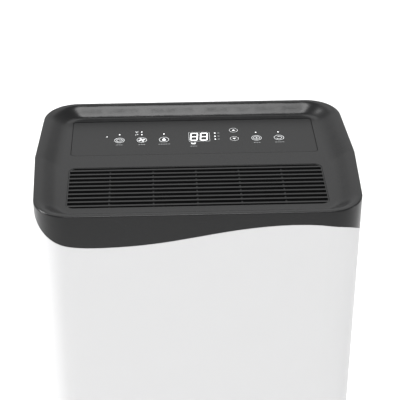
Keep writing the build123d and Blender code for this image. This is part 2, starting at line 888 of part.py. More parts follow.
block_y = float_y - float_arm
with BuildPart() as float_block:
    add(
        block((float_x - float_width / 2, float_x + float_width / 2),
              (block_y - float_length / 2, block_y + float_length / 2),
              (float_z - float_height / 2, float_z + float_height / 2))
    )
    fillet(float_block.edges().filter_by(Axis.Z), float_rounding)
    add(
        block((float_x - float_width / 2, float_x + float_width / 2), (block_y, float_y),
              (float_z - float_neck / 2, float_z + float_neck / 2))
    )
    add(rod("X", (float_y, float_z), float_sleeve, float_x - float_width / 2, float_x + float_width / 2))
    add(rod("X", (float_y, float_z), float_pin + pivot_clearance, float_x - float_width,
            float_x + float_width), mode=Mode.SUBTRACT)
    add(rod("Z", (float_x, block_y), magnet_radius + fit, float_z + float_height / 2 - magnet_length,
            float_z + float_height / 2), mode=Mode.SUBTRACT)
save(float_block.part, "float_arm")

with BuildPart() as float_magnet:
    add(rod("Z", (float_x, block_y), magnet_radius, float_z + float_height / 2 - magnet_length,
            float_z + float_height / 2))
save(float_magnet.part, "float_magnet")

with BuildPart() as float_sensor:
    add(
        block((float_x - sensor_size / 2, float_x + sensor_size / 2),
              (bay_rear + wall, bay_rear + wall + sensor_size / 2), (float_z, float_z + sensor_size))
    )
save(float_sensor.part, "float_sensor")

# ------------------------------------------------------------------ rear intake and filter
grille_half = intake_half - seam
grille_tall = intake_tall - 2 * seam
with BuildPart() as intake_grille:
    add(upright_slab(0, intake_z, 2 * grille_half, grille_tall, rear_y - intake_depth, intake_depth,
                     intake_corner - seam))
    add(
        upright_slab(0, intake_z, 2 * (grille_half - intake_border), grille_tall - 2 * intake_border,
                     rear_y - intake_depth - 1, intake_depth + 2, 2),
        mode=Mode.SUBTRACT,
    )
    inner_tall = grille_tall - 2 * intake_border
    louvre_count = int(inner_tall / louvre_pitch) - 1
    rib_number = int(2 * (grille_half - intake_border) / intake_rib_pitch)
    with BuildSketch(Plane.XZ.offset(-rear_y + seam)):
        with Locations((0, intake_z)):
            with GridLocations(0, inner_tall / (louvre_count + 1), 1, louvre_count):
                Rectangle(2 * grille_half - intake_border, louvre_thickness)
    extrude(amount=louvre_depth)
    with BuildSketch(Plane.XZ.offset(-rear_y + intake_depth)):
        with Locations((0, intake_z)):
            with GridLocations(intake_rib_pitch, 0, rib_number, 1):
                Rectangle(rib_width, grille_tall - intake_border)
    extrude(amount=-louvre_depth / 2)
save(intake_grille.part, "intake_grille")

filter_half = intake_half - 2 * fit
filter_tall = intake_tall - 4 * fit
with BuildPart() as filter_frame:
    with BuildSketch(Plane.XZ.offset(-filter_front)):
        with Locations((0, intake_z)):
            RectangleRounded(2 * filter_half, filter_tall, intake_corner - 2 * fit)
            with GridLocations(filter_pitch, filter_pitch, int(2 * filter_half / filter_pitch),
                               int(filter_tall / filter_pitch)):
                Rectangle(filter_pitch - filter_bar, filter_pitch - filter_bar, mode=Mode.SUBTRACT)
    extrude(amount=-filter_thickness)
    with BuildSketch(Plane.XZ.offset(-filter_front)):
        with Locations((0, intake_z)):
            RectangleRounded(2 * (filter_half - filter_bar), filter_tall - 2 * filter_bar,
                             intake_corner - filter_bar)
    extrude(amount=-mesh_thickness - fit, mode=Mode.SUBTRACT)
save(filter_frame.part, "filter_frame")

with BuildPart() as filter_mesh:
    add(
        upright_slab(0, intake_z, 2 * (filter_half - filter_bar - fit), filter_tall - 2 * (filter_bar + fit),
                     filter_front, mesh_thickness, intake_corner - filter_bar - fit)
    )
save(filter_mesh.part, "filter_mesh")

# ------------------------------------------------------------------ drip tray and drain
tray_top = deck_top + tray_height
with BuildPart() as drip_tray:
    add(block((-tray_half, tray_half), (tray_front, tray_back), (deck_top, tray_top)))
    add(
        block((spout_x - trough_width / 2, spout_x + trough_width / 2),
              (spout_y - trough_width / 2, tray_front + 1), (deck_top, tray_top))
    )
    add(
        block((-tray_half + tray_wall, tray_half - tray_wall),
              (tray_front + tray_wall, tray_back - tray_wall), (deck_top + tray_wall, tray_top)),
        mode=Mode.SUBTRACT,
    )
    add(
        block((spout_x - trough_width / 2 + tray_wall, spout_x + trough_width / 2 - tray_wall),
              (spout_y - trough_width / 2 + tray_wall, tray_front + 2 * tray_wall),
              (deck_top + tray_wall, tray_top)),
        mode=Mode.SUBTRACT,
    )
    add(rod("Z", (spout_x, spout_y), spout_radius, deck_bottom - spout_drop, deck_top + tray_wall))
    add(rod("Z", (spout_x, spout_y), spout_bore, deck_bottom - spout_drop - 1, tray_top), mode=Mode.SUBTRACT)
    add(rod("Z", (outlet_x, drain_drop_y), spigot_bore, deck_top - 1, tray_top), mode=Mode.SUBTRACT)
save(drip_tray.part, "drip_tray")

spigot_end = pocket_y + spigot_length
drain_route = [
    (outlet_x, drain_drop_y, deck_top),
    (outlet_x, drain_drop_y, drain_z),
    (outlet_x, pocket_y, drain_z),
]
with BuildPart() as drain_elbow:
    add(pipe(drain_pipe_radius, drain_route, drain_bend))
    add(rod("Y", (outlet_x, drain_z), spigot_radius, pocket_y - wall, spigot_end))
    add(pipe(spigot_bore, drain_route, drain_bend), mode=Mode.SUBTRACT)
    add(rod("Y", (outlet_x, drain_z), spigot_bore, pocket_y - wall, spigot_end), mode=Mode.SUBTRACT)
save(drain_elbow.part, "drain_elbow")

with BuildPart() as drain_bung:
    add(rod("Y", (outlet_x, drain_z), spigot_bore - bung_clearance, spigot_end - bung_length,
            spigot_end + fit))
    add(rod("Y", (outlet_x, drain_z), bung_radius, spigot_end + fit, spigot_end + fit + bung_head))
save(drain_bung.part, "drain_bung")

with BuildPart() as cord_gland:
    add(rod("Y", (outlet_x, gland_z), gland_radius, pocket_y - wall - 2 * fit, pocket_y + gland_nose))
    add(rod("Y", (outlet_x, gland_z), gland_flange, pocket_y + fit, pocket_y + fit + gland_flange_thickness))
    add(
        rod("Y", (outlet_x, gland_z), gland_flange, pocket_y - wall - fit - gland_flange_thickness,
            pocket_y - wall - fit)
    )
    add(rod("Y", (outlet_x, gland_z), gland_bore, pocket_y - reach, rear_y), mode=Mode.SUBTRACT)
save(cord_gland.part, "cord_gland")

# ------------------------------------------------------------------ coils
tube_rows = {
    "evaporator": [evaporator_y],
    "condenser": [condenser_y - condenser_row / 2, condenser_y + condenser_row / 2],
}
tube_levels = [coil_bottom + coil_pitch * (number + 0.5) for number in range(coil_tubes)]


def fin_block(centre_y, thickness, rows):
    """Fins as a comb-edged block, with a hole for each tube run."""
    slots = int(2 * coil_half / fin_pitch) - 1
    with BuildPart(mode=Mode.PRIVATE) as fins:
        with BuildSketch(Plane.XY.offset(coil_bottom)):
            with Locations((0, centre_y)):
                Rectangle(2 * coil_half, thickness)
                with GridLocations(fin_pitch, thickness, slots, 2):
                    Rectangle(fin_slot, 2 * fin_slot_depth, mode=Mode.SUBTRACT)
        extrude(amount=coil_height)
        with BuildSketch(Plane.YZ.offset(-coil_half)):
            with Locations(*[(y, z) for y in rows for z in tube_levels]):
                Circle(tube_radius + tube_clearance)
        extrude(amount=2 * coil_half, mode=Mode.SUBTRACT)
    return fins.part


def serpentine(rows):
    """A tube that runs to and fro up the first row, and back down any second row."""
    end = coil_half + end_plate + coil_stub
    turn = coil_half + end_plate + coil_pitch / 2 + 1
    points = []
    level_order = list(tube_levels)
    heading = -1
    for row, y in enumerate(rows):
        for number, z in enumerate(level_order):
            first = row == 0 and number == 0
            last = row == len(rows) - 1 and number == len(level_order) - 1
            points.append((-heading * (end if first else turn), y, z))
            points.append((heading * (end if last else turn), y, z))
            heading = -heading
        level_order.reverse()
    return points


for name, centre_y, thickness in (
    ("evaporator", evaporator_y, evaporator_thickness),
    ("condenser", condenser_y, condenser_thickness),
):
    with BuildPart() as coil_fins:
        add(fin_block(centre_y, thickness, tube_rows[name]))
    save(coil_fins.part, f"{name}_fins")
    with BuildPart() as coil_tube:
        add(pipe(tube_radius, serpentine(tube_rows[name]), condenser_row / 2 - 0.5))
    save(coil_tube.part, f"{name}_tube")

plate_bottom = deck_top + tray_wall
plate_top = coil_bottom + coil_height
with BuildPart() as coil_end_plates:
    for side in (-1, 1):
        with BuildSketch(Plane.YZ.offset(side * coil_half)):
            with Locations(((tray_front + tray_back) / 2, (plate_bottom + plate_top) / 2)):
                Rectangle(tray_back - tray_front - 2 * (tray_wall + end_plate_gap), plate_top - plate_bottom)
            with Locations(*[(y, z) for rows in tube_rows.values() for y in rows for z in tube_levels]):
                Circle(tube_radius + tube_clearance, mode=Mode.SUBTRACT)
        extrude(amount=side * end_plate)
save(coil_end_plates.part, "coil_end_plates")

# ------------------------------------------------------------------ compressor and pipes
feet = [
    (compressor_x + foot_circle * cos(radians(angle)), compressor_y + foot_circle * sin(radians(angle)))
    for angle in (45, 135, 225, 315)
]
condenser_in = condenser_y - condenser_row / 2
condenser_out = condenser_y + condenser_row / 2
port_x = compressor_x + compressor_port
port_top = compressor_top + port_length
with BuildPart() as compressor:
    with BuildSketch(Plane.XY.offset(compressor_bottom)):
        with Locations((compressor_x, compressor_y)):
            Circle(compressor_radius)
    extrude(amount=compressor_height)
    fillet(compressor.edges(), compressor_dome)
    add(rod("Z", (port_x, condenser_in), tube_radius + 1, compressor_top - compressor_dome, port_top))
    with BuildSketch(Plane.XY.offset(foot_bottom)):
        with BuildLine():
            Polyline(*feet, close=True)
        make_face()
        with Locations(*feet):
            Circle(grommet_radius)
        with Locations((compressor_x, compressor_y)):
            Circle(foot_circle / 2)
        with Locations(*feet):
            Circle(stud_radius + fit, mode=Mode.SUBTRACT)
    extrude(amount=foot_plate)
save(compressor.part, "compressor")

with BuildPart() as compressor_grommets:
    for foot in feet:
        add(rod("Z", foot, grommet_radius, base_top, foot_bottom))
        add(rod("Z", foot, stud_radius + fit, base_top, foot_bottom), mode=Mode.SUBTRACT)
save(compressor_grommets.part, "compressor_grommets")

with BuildPart() as compressor_studs:
    for foot in feet:
        add(rod("Z", foot, stud_radius, base_top, compressor_bottom + nut_height + 1))
        add(rod("Z", foot, nut_radius, compressor_bottom, compressor_bottom + nut_height))
save(compressor_studs.part, "compressor_studs")

with BuildPart() as terminal_cover:
    add(rod("Z", (compressor_x - compressor_port / 2, compressor_y), terminal_radius, compressor_top,
            compressor_top + terminal_radius))
    fillet(terminal_cover.edges().group_by(Axis.Z)[-1], terminal_rounding)
save(terminal_cover.part, "terminal_cover")

accumulator_top = accumulator_bottom + accumulator_height
with BuildPart() as accumulator:
    with BuildSketch(Plane.XY.offset(accumulator_bottom)):
        with Locations((accumulator_x, compressor_y)):
            Circle(accumulator_radius)
    extrude(amount=accumulator_height)
    fillet(accumulator.edges(), accumulator_radius / 2)
    add(
        pipe(
            tube_radius,
            [
                (accumulator_x, compressor_y, accumulator_bottom + 1),
                (accumulator_x, compressor_y, accumulator_bottom - 2 * pipe_bend),
                (compressor_x - compressor_radius + 1, compressor_y, accumulator_bottom - 2 * pipe_bend),
            ],
            pipe_bend,
        )
    )
    add(rod("Z", (compressor_x, compressor_y), compressor_radius, 0, accumulator_bottom), mode=Mode.SUBTRACT)
save(accumulator.part, "accumulator")

coil_end = coil_half + end_plate + coil_stub
with BuildPart() as discharge_pipe:
    add(
        pipe(
            tube_radius,
            [
                (port_x, condenser_in, port_top),
                (port_x, condenser_in, pipe_level),
                (riser_x, condenser_in, pipe_level),
                (riser_x, condenser_in, tube_levels[0]),
                (coil_end, condenser_in, tube_levels[0]),
            ],
            pipe_bend,
        )
    )
save(discharge_pipe.part, "discharge_pipe")

with BuildPart() as suction_pipe:
    add(
        pipe(
            tube_radius,
            [
                (coil_end, evaporator_y, tube_levels[-1]),
                (suction_riser_x, evaporator_y, tube_levels[-1]),
                (suction_riser_x, evaporator_y, pipe_level),
                (accumulator_x, evaporator_y, pipe_level),
                (accumulator_x, compressor_y, pipe_level),
                (accumulator_x, compressor_y, accumulator_top),
            ],
            pipe_bend,
        )
    )
save(suction_pipe.part, "suction_pipe")

drier_bottom = tube_levels[0] + coil_pitch
with BuildPart() as filter_drier:
    with BuildSketch(Plane.XY.offset(drier_bottom)):
        with Locations((drier_x, condenser_out)):
            Circle(drier_radius)
    extrude(amount=drier_length)
    fillet(filter_drier.edges(), drier_radius / 2)
    add(
        pipe(
            tube_radius,
            [
                (coil_end, condenser_out, tube_levels[0]),
                (drier_x, condenser_out, tube_levels[0]),
                (drier_x, condenser_out, drier_bottom + 1),
            ],
            pipe_bend,
        )
    )
save(filter_drier.part, "filter_drier")

with BuildPart() as capillary_tube:
    add(
        pipe(
            capillary_radius,
            [
                (drier_x, condenser_out, drier_bottom + drier_length),
                (drier_x, condenser_out, drier_bottom + drier_length + coil_pitch),
                (drier_x, evaporator_y, drier_bottom + drier_length + coil_pitch),
                (drier_x, evaporator_y, tube_levels[0]),
                (coil_end, evaporator_y, tube_levels[0]),
            ],
            pipe_bend,
        )
    )
save(capillary_tube.part, "capillary_tube")

# ------------------------------------------------------------------ fan and its scroll
scroll_top = grille_bottom - fit
wheel_back = fan_front + fan_plate + fan_width


def air_passage(grow, start, end):
    """The air passage between two Y values: a spiral that opens upwards into a wide diffuser."""
    cutoff = radians(scroll_cutoff)
    turns = [cutoff + (2 * pi - cutoff) * step / 6 for step in range(7)]
    spiral = []
    for angle in turns:
        radius = between(scroll_start, scroll_end, (angle - cutoff) / (2 * pi - cutoff)) + grow
        spiral.append((radius * cos(angle), fan_z + radius * sin(angle)))
    mouth = outlet_width / 2 - 2 * wall + grow
    with BuildPart(mode=Mode.PRIVATE) as passage:
        with BuildSketch(Plane.XZ.offset(-end)):
            with BuildLine():
                Spline(*spiral)
                Polyline(
                    spiral[-1],
                    (scroll_end + grow, fan_z + scroll_start),
                    (mouth, scroll_top),
                    (-mouth, scroll_top),
                    spiral[0],
                )
            make_face()
        extrude(amount=end - start)
    return passage.part


with BuildPart() as scroll_case:
    add(air_passage(wall, scroll_front, scroll_back))
    add(air_passage(0, scroll_front + wall, scroll_back + 1), mode=Mode.SUBTRACT)
    add(rod("Y", (0, fan_z), hub_radius + 2, scroll_front - 1, scroll_front + wall + 1), mode=Mode.SUBTRACT)
save(scroll_case.part, "scroll_case")

with BuildPart() as scroll_inlet:
    add(air_passage(wall, scroll_back, scroll_back + wall))
    add(rod("Y", (0, fan_z), inlet_radius + wall, scroll_back - inlet_length, scroll_back + wall))
    add(rod("Y", (0, fan_z), inlet_radius, scroll_back - reach, scroll_back + reach), mode=Mode.SUBTRACT)
save(scroll_inlet.part, "scroll_inlet")

motor_back = scroll_front - motor_length
with BuildPart() as fan_motor:
    add(rod("Y", (0, fan_z), motor_radius, motor_back, scroll_front))
    fillet(fan_motor.edges().group_by(Axis.Y)[0], motor_rounding)
    add(rod("Y", (0, fan_z), shaft_radius + shaft_clearance, motor_back + shaft_seat, scroll_front + 1),
        mode=Mode.SUBTRACT)
save(fan_motor.part, "fan_motor")

with BuildPart() as fan_wheel:
    add(rod("Y", (0, fan_z), fan_radius, fan_front, fan_front + fan_plate))
    add(rod("Y", (0, fan_z), hub_radius, fan_front - hub_front, fan_front + hub_back))
    with BuildSketch(Plane.XZ.offset(-wheel_back + end_ring)):
        with Locations((0, fan_z)):
            Circle(fan_radius)
            Circle(fan_radius - blade_depth / 3, mode=Mode.SUBTRACT)
    extrude(amount=-end_ring)
    with BuildSketch(Plane.XZ.offset(-fan_front)):
        with Locations((0, fan_z)):
            with PolarLocations(fan_radius - blade_depth / 2, blade_count):
                Rectangle(blade_depth, blade_thickness, rotation=blade_pitch_angle)
    extrude(amount=-(fan_width + fan_plate))
    add(rod("Y", (0, fan_z), fan_radius, fan_front - hub_front - 1, wheel_back), mode=Mode.INTERSECT)
    add(rod("Y", (0, fan_z), shaft_radius, fan_front - reach, wheel_back), mode=Mode.SUBTRACT)
save(fan_wheel.part, "fan_wheel")

with BuildPart() as fan_shaft:
    add(rod("Y", (0, fan_z), shaft_radius, motor_back + shaft_seat + fit, fan_front + reach))
save(fan_shaft.part, "fan_shaft")

# ------------------------------------------------------------------ control box
box_front = bay_rear + wall
with BuildPart() as control_box:
    add(upright_slab(box_x, box_z, box_width, box_height, box_front, box_depth, box_corner))
    add(
        upright_slab(box_x, box_z, box_width - 2 * box_wall, box_height - 2 * box_wall,
                     box_front + box_wall, box_depth, box_corner - box_wall),
        mode=Mode.SUBTRACT,
    )
    with BuildSketch(Plane.XZ.offset(-box_front - box_wall)):
        with Locations((box_x, box_z)):
            with GridLocations(box_width - box_boss_inset, box_height - box_boss_inset, 2, 2):
                Circle(boss_radius)
    extrude(amount=-box_standoff)
save(control_box.part, "control_box")

board_y = box_front + box_wall + box_standoff
with BuildPart() as main_board:
    add(
        upright_slab(box_x, box_z, box_width - 2 * box_wall - 2 * board_gap,
                     box_height - 2 * box_wall - 2 * board_gap, board_y, board_thickness, board_corner)
    )
    for x, z, width, tall, deep in board_components:
        add(upright_slab(box_x + x, box_z + z, width, tall, board_y, deep, board_corner))
save(main_board.part, "main_board")

# ------------------------------------------------------------------ castors
crown_bottom = 2 * wheel_radius + crown_gap
for side, corner_x in (("left", -castor_x), ("right", castor_x)):
    for end, corner_y in (("front", -castor_y), ("rear", castor_y)):
        wheel_y = corner_y + castor_trail
        with BuildPart() as castor_fork:
            add(rod("Z", (corner_x, corner_y), crown_radius, crown_bottom, crown_bottom + crown_thickness))
            add(rod("Z", (corner_x, corner_y), stem_radius, crown_bottom, base_floor + socket_height))
            for way in (-1, 1):
                inner = corner_x + way * (wheel_width / 2 + cheek_gap)
                outer = inner + way * cheek
                add(
                    block(sorted((inner, outer)), (wheel_y - cheek_width / 2, wheel_y + cheek_width / 2),
                          (wheel_radius, crown_bottom + crown_thickness))
                )
                add(rod("X", (wheel_y, wheel_radius), cheek_width / 2, *sorted((inner, outer))))
                add(rod("X", (wheel_y, wheel_radius), axle_radius, *sorted((inner - way, outer + way))),
                    mode=Mode.SUBTRACT)
        save(castor_fork.part, f"{end}_{side}_castor_fork")

        span = wheel_width / 2 + cheek_gap + cheek
        with BuildPart() as castor_axle:
            add(rod("X", (wheel_y, wheel_radius), axle_radius, corner_x - span, corner_x + span))
        save(castor_axle.part, f"{end}_{side}_castor_axle")

        with BuildPart() as castor_wheel:
            add(rod("X", (wheel_y, wheel_radius), wheel_radius, corner_x - wheel_width / 2,
                    corner_x + wheel_width / 2))
            fillet(castor_wheel.edges(), wheel_rounding)
            add(rod("X", (wheel_y, wheel_radius), axle_radius + wheel_clearance, corner_x - wheel_width,
                    corner_x + wheel_width), mode=Mode.SUBTRACT)
        save(castor_wheel.part, f"{end}_{side}_castor_wheel")
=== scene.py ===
"""Looks for a portable compressor dehumidifier, laid out as an add-on and run as a script.

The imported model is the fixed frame. Each operator finishes one group of pieces on it.
"""

import math

import bpy
from bpy.props import FloatProperty, FloatVectorProperty, PointerProperty
from bpy.types import Operator, Panel, PropertyGroup
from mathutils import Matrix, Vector


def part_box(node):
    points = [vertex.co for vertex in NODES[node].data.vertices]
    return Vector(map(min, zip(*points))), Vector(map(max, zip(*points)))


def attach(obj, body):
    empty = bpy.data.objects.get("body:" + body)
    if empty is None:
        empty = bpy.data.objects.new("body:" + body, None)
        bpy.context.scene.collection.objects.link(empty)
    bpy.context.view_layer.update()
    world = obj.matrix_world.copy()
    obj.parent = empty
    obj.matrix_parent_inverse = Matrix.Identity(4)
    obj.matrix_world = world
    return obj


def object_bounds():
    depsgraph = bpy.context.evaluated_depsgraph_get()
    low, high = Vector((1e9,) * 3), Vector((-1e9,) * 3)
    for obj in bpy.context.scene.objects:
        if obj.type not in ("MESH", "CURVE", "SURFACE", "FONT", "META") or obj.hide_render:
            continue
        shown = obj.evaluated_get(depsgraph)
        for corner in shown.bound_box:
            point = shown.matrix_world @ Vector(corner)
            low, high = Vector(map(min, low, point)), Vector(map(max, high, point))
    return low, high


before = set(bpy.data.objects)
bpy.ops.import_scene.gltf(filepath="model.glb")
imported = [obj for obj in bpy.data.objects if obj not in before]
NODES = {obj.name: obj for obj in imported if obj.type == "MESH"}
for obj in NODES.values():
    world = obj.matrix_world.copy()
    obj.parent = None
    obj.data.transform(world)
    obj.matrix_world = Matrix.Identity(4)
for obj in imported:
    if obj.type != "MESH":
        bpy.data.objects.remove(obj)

bl_info = {
    "name": "Dehumidifier finish",
    "version": (1, 0, 0),
    "blender": (4, 5, 0),
    "location": "View3D > Sidebar > Dehumidifier",
    "description": "Finishes the casing, control panel, works and stage of a portable dehumidifier",
    "category": "Object",
}

CAD_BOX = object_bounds()
MM = 0.001
SHARPEST_SMOOTH_EDGE = math.radians(28)


# ------------------------------------------------------------------ shader sums and finishes
class Signal:
    """A number that comes out of a shader node, with Python's own operators for sums on it."""

    def __init__(self, finish, socket):
        self.finish = finish
        self.socket = socket

    def _maths(self, operation, *values):
        return self.finish.node("ShaderNodeMath", {"operation": operation}, dict(enumerate(values)))

    def __add__(self, other):
        return self._maths("ADD", self, other)

    def __radd__(self, other):
        return self._maths("ADD", other, self)

    def __sub__(self, other):
        return self._maths("SUBTRACT", self, other)

    def __rsub__(self, other):
        return self._maths("SUBTRACT", other, self)

    def __mul__(self, other):
        return self._maths("MULTIPLY", self, other)

    def __rmul__(self, other):
        return self._maths("MULTIPLY", other, self)

    def __truediv__(self, other):
        return self._maths("DIVIDE", self, other)

    def __rtruediv__(self, other):
        return self._maths("DIVIDE", other, self)

    def __gt__(self, other):
        return self._maths("GREATER_THAN", self, other)

    def __lt__(self, other):
        return self._maths("LESS_THAN", self, other)

    def wave(self):
        """The sine of this number, taken as radians."""
        return self._maths("SINE", self)

    def size(self):
        """This number without its sign."""
        return self._maths("ABSOLUTE", self)

    def fraction(self):
        """What is left of this number past the whole part."""
        return self._maths("FRACT", self)

    def most(self, other):
        """The higher of two numbers."""
        return self._maths("MAXIMUM", self, other)


class Finish:
    """A material being put together round one Principled shader."""

    def __init__(self, name, **sockets):
        self.material = bpy.data.materials.new(name)
        self.material.use_nodes = True
        self.tree = self.material.node_tree
        self.shader = self.tree.nodes["Principled BSDF"]
        for socket, value in sockets.items():
            self.set(socket.replace("_", " "), value)

    def _put(self, socket, value):
        if isinstance(value, Signal):
            self.tree.links.new(value.socket, socket)
        elif hasattr(socket.default_value, "__len__") and hasattr(value, "__len__"):
            socket.default_value = tuple(value)[: len(socket.default_value)]
        else:
            socket.default_value = value

    def node(self, kind, settings, values, output=0):
        """Adds a node: its settings first, then the value or link of each socket."""
        made = self.tree.nodes.new(kind)
        for name, value in settings.items():
            setattr(made, name, value)
        for name, value in values.items():
            self._put(made.inputs[name], value)
        return Signal(self, made.outputs[output])

    def set(self, socket, value):
        """Sets or links one socket of the shader."""
        self._put(self.shader.inputs[socket], value)

    def place(self):
        """Object coordinates, in metres."""
        return self.node("ShaderNodeTexCoord", {}, {}, "Object")

    def along(self, axis):
        """One object coordinate: 0, 1 or 2."""
        return self.node("ShaderNodeSeparateXYZ", {}, {"Vector": self.place()}, axis)

    def noise(self, scale, detail=2.0, roughness=0.5, vector=None):
        """Soft noise between 0 and 1, about 1/scale metres across."""
        return self.node(
            "ShaderNodeTexNoise",
            {},
            {"Vector": vector or self.place(), "Scale": scale, "Detail": detail, "Roughness": roughness},
            "Fac",
        )

    def stretched(self, scales):
        """Object coordinates stretched by three factors."""
        return self.node("ShaderNodeMapping", {}, {"Vector": self.place(), "Scale": scales}, "Vector")

    def blend(self, factor, first, second):
        """A colour between two colours."""
        return self.node("ShaderNodeMix", {"data_type": "RGBA"}, {0: factor, 6: first, 7: second}, 2)

    def bump(self, height, strength, distance):
        """Links a height to the shader's normal."""
        normal = self.node(
            "ShaderNodeBump", {}, {"Height": height, "Strength": strength, "Distance": distance}, "Normal"
        )
        self.set("Normal", normal)


def shade(colour, factor):
    """A colour made lighter or darker, with full alpha."""
    return tuple(min(1.0, channel * factor) for channel in colour[:3]) + (1.0,)


def moulded(name, colour, roughness, grain, depth, specular=0.5, mottle=0.06, unevenness=0.05):
    """Moulded plastic: an eroded grain, slightly uneven sheen and colour. Grain is in lines a metre."""
    made = Finish(name, Specular_IOR_Level=specular)
    cloud = made.noise(9.0, 3.0)
    made.set("Base Color", made.blend(cloud, shade(colour, 1 - mottle), shade(colour, 1 + mottle)))
    fine = made.noise(grain, 3.0, 0.6)
    made.set("Roughness", roughness + unevenness * (cloud - 0.5) + 0.06 * (fine - 0.5))
    made.bump(fine, 0.35, depth)
    return made.material


def casing_white(settings):
    """The white shells: fine satin grain."""
    return moulded("casing_white", settings.casing, roughness=0.42, grain=2600.0, depth=0.04 * MM,
                   specular=0.4, mottle=0.012)


def cover_charcoal(settings):
    """The charcoal top cover: satin grain over a dark, slightly uneven colour."""
    return moulded("cover_charcoal", settings.cover, settings.cover_roughness, grain=2200.0,
                   depth=0.03 * MM, specular=0.3, unevenness=0.015)


def grille_charcoal(settings):
    """The outlet grille, a little duller than the cover."""
    return moulded("grille_charcoal", settings.grille, roughness=0.45, grain=2200.0, depth=0.04 * MM,
                   specular=0.3)


def overlay_charcoal(settings):
    """The printed overlay of the control panel: nearly smooth film with faint ripple."""
    made = Finish("overlay_charcoal", Specular_IOR_Level=0.3)
    cloud = made.noise(14.0, 2.0)
    darker, lighter = shade(settings.overlay, 0.97), shade(settings.overlay, 1.03)
    made.set("Base Color", made.blend(cloud, darker, lighter))
    made.set("Roughness", 0.33 + 0.04 * cloud)
    made.bump(made.noise(1400.0, 2.0), 0.2, 0.02 * MM)
    return made.material


def ink_white(settings):
    """Printed marks: slightly uneven white ink, faintly lit from behind."""
    made = Finish("ink_white", Roughness=0.5, Emission_Strength=0.12)
    grain = made.noise(1800.0, 2.0)
    colour = made.blend(grain, shade(settings.ink, 0.9), shade(settings.ink, 1.0))
    made.set("Base Color", colour)
    made.set("Emission Color", colour)
    return made.material


def ink_grey(settings):
    """The small dashes, printed paler."""
    made = Finish("ink_grey", Roughness=0.5)
    darker, lighter = shade(settings.ink, 0.32), shade(settings.ink, 0.42)
    made.set("Base Color", made.blend(made.noise(1500.0), darker, lighter))
    return made.material


def painted_groove_shadow():
    """Painted shade: a near-black line standing in for the shadow in the groove between two mouldings."""
    made = Finish("painted_groove_shadow", Specular_IOR_Level=0.1, Roughness=0.8)
    made.set("Base Color", made.blend(made.noise(300.0), (0.002, 0.002, 0.002, 1), (0.004, 0.004, 0.004, 1)))
    return made.material


def lamp_white(settings):
    """Lit marks: the display's digits and the small lamps, slightly uneven in brightness."""
    made = Finish("lamp_white", Roughness=0.4, Emission_Strength=1.0)
    cloud = made.noise(500.0, 1.0)
    colour = made.blend(cloud, shade(settings.lamp, 0.92), shade(settings.lamp, 1.0))
    made.set("Base Color", colour)
    made.set("Emission Color", colour)
    return made.material


def inner_grey(settings):
    """Plain inner mouldings."""
    return moulded("inner_grey", settings.inner, roughness=0.55, grain=1500.0, depth=0.06 * MM)


def base_grey(settings):
    """The base pan: coarse dark grain."""
    return moulded("base_grey", settings.base, roughness=0.55, grain=1300.0, depth=0.1 * MM)


def soft_black(settings):
    """Rubber parts: dull, with a dusty bloom."""
    made = Finish("soft_black", Specular_IOR_Level=0.3)
    dust = made.noise(60.0, 4.0, 0.7)
    made.set("Base Color", made.blend(dust, (0.012, 0.012, 0.013, 1), (0.035, 0.035, 0.036, 1)))
    made.set("Roughness", 0.7 + 0.15 * dust)
    made.bump(made.noise(1100.0, 3.0), 0.4, 0.08 * MM)
    return made.material


def hard_black(settings):
    """Castor forks, glands and switch housings."""
    return moulded("hard_black", (0.02, 0.02, 0.022), roughness=0.45, grain=1700.0, depth=0.06 * MM)


def tyre_grey(settings):
    """Castor treads: scuffed grey plastic."""
    made = Finish("tyre_grey")
    scuff = made.noise(220.0, 5.0, 0.65, made.stretched((1.0, 0.25, 0.25)))
    made.set("Base Color", made.blend(scuff, (0.05, 0.05, 0.052, 1), (0.11, 0.11, 0.115, 1)))
    made.set("Roughness", 0.5 + 0.25 * scuff)
    made.bump(scuff, 0.3, 0.1 * MM)
    return made.material


def tank_smoke(settings):
    """The translucent water tank: clear smoke plastic with faint flow lines."""
    made = Finish("tank_smoke", Roughness=0.22, IOR=1.49, Alpha=0.55)
    flow = made.noise(40.0, 3.0, 0.5, made.stretched((1.0, 1.0, 0.15)))
    made.set("Base Color", made.blend(flow, (0.42, 0.5, 0.55, 1), (0.6, 0.67, 0.71, 1)))
    made.bump(flow, 0.1, 0.2 * MM)
    return made.material


def window_clear(settings):
    """The level window."""
    made = Finish("window_clear", Roughness=0.08, Alpha=0.6)
    tint = made.noise(30.0, 1.0)
    made.set("Base Color", made.blend(tint, (0.16, 0.2, 0.22, 1), (0.22, 0.26, 0.28, 1)))
    return made.material


def fin_stock(settings):
    """Aluminium fins: thin bright plates with slight bends."""
    made = Finish("fin_stock", Metallic=1.0)
    ripple = made.noise(120.0, 3.0, 0.6, made.stretched((1.0, 1.0, 0.2)))
    made.set("Base Color", made.blend(ripple, (0.52, 0.54, 0.56, 1), (0.78, 0.8, 0.82, 1)))
    made.set("Roughness", 0.3 + 0.25 * ripple)
    made.bump(ripple, 0.3, 0.3 * MM)
    return made.material


def copper_tube(settings):
    """Drawn copper, browned in patches."""
    made = Finish("copper_tube", Metallic=1.0)
    patina = made.noise(35.0, 5.0, 0.6)
    made.set("Base Color", made.blend(patina, (0.62, 0.3, 0.17, 1), (0.3, 0.15, 0.09, 1)))
    made.set("Roughness", 0.28 + 0.3 * patina)
    made.bump(made.noise(300.0, 2.0), 0.15, 0.1 * MM)
    return made.material


def zinc_steel(settings):
    """Zinc-plated steel with a faint spangle."""
    made = Finish("zinc_steel", Metallic=1.0)
    spangle = made.node(
        "ShaderNodeTexVoronoi", {}, {"Vector": made.place(), "Scale": 240.0}, "Distance"
    )
    made.set("Base Color", made.blend(spangle, (0.5, 0.51, 0.52, 1), (0.66, 0.67, 0.68, 1)))
    made.set("Roughness", 0.32 + 0.2 * spangle)
    made.bump(made.noise(900.0, 2.0), 0.2, 0.04 * MM)
    return made.material


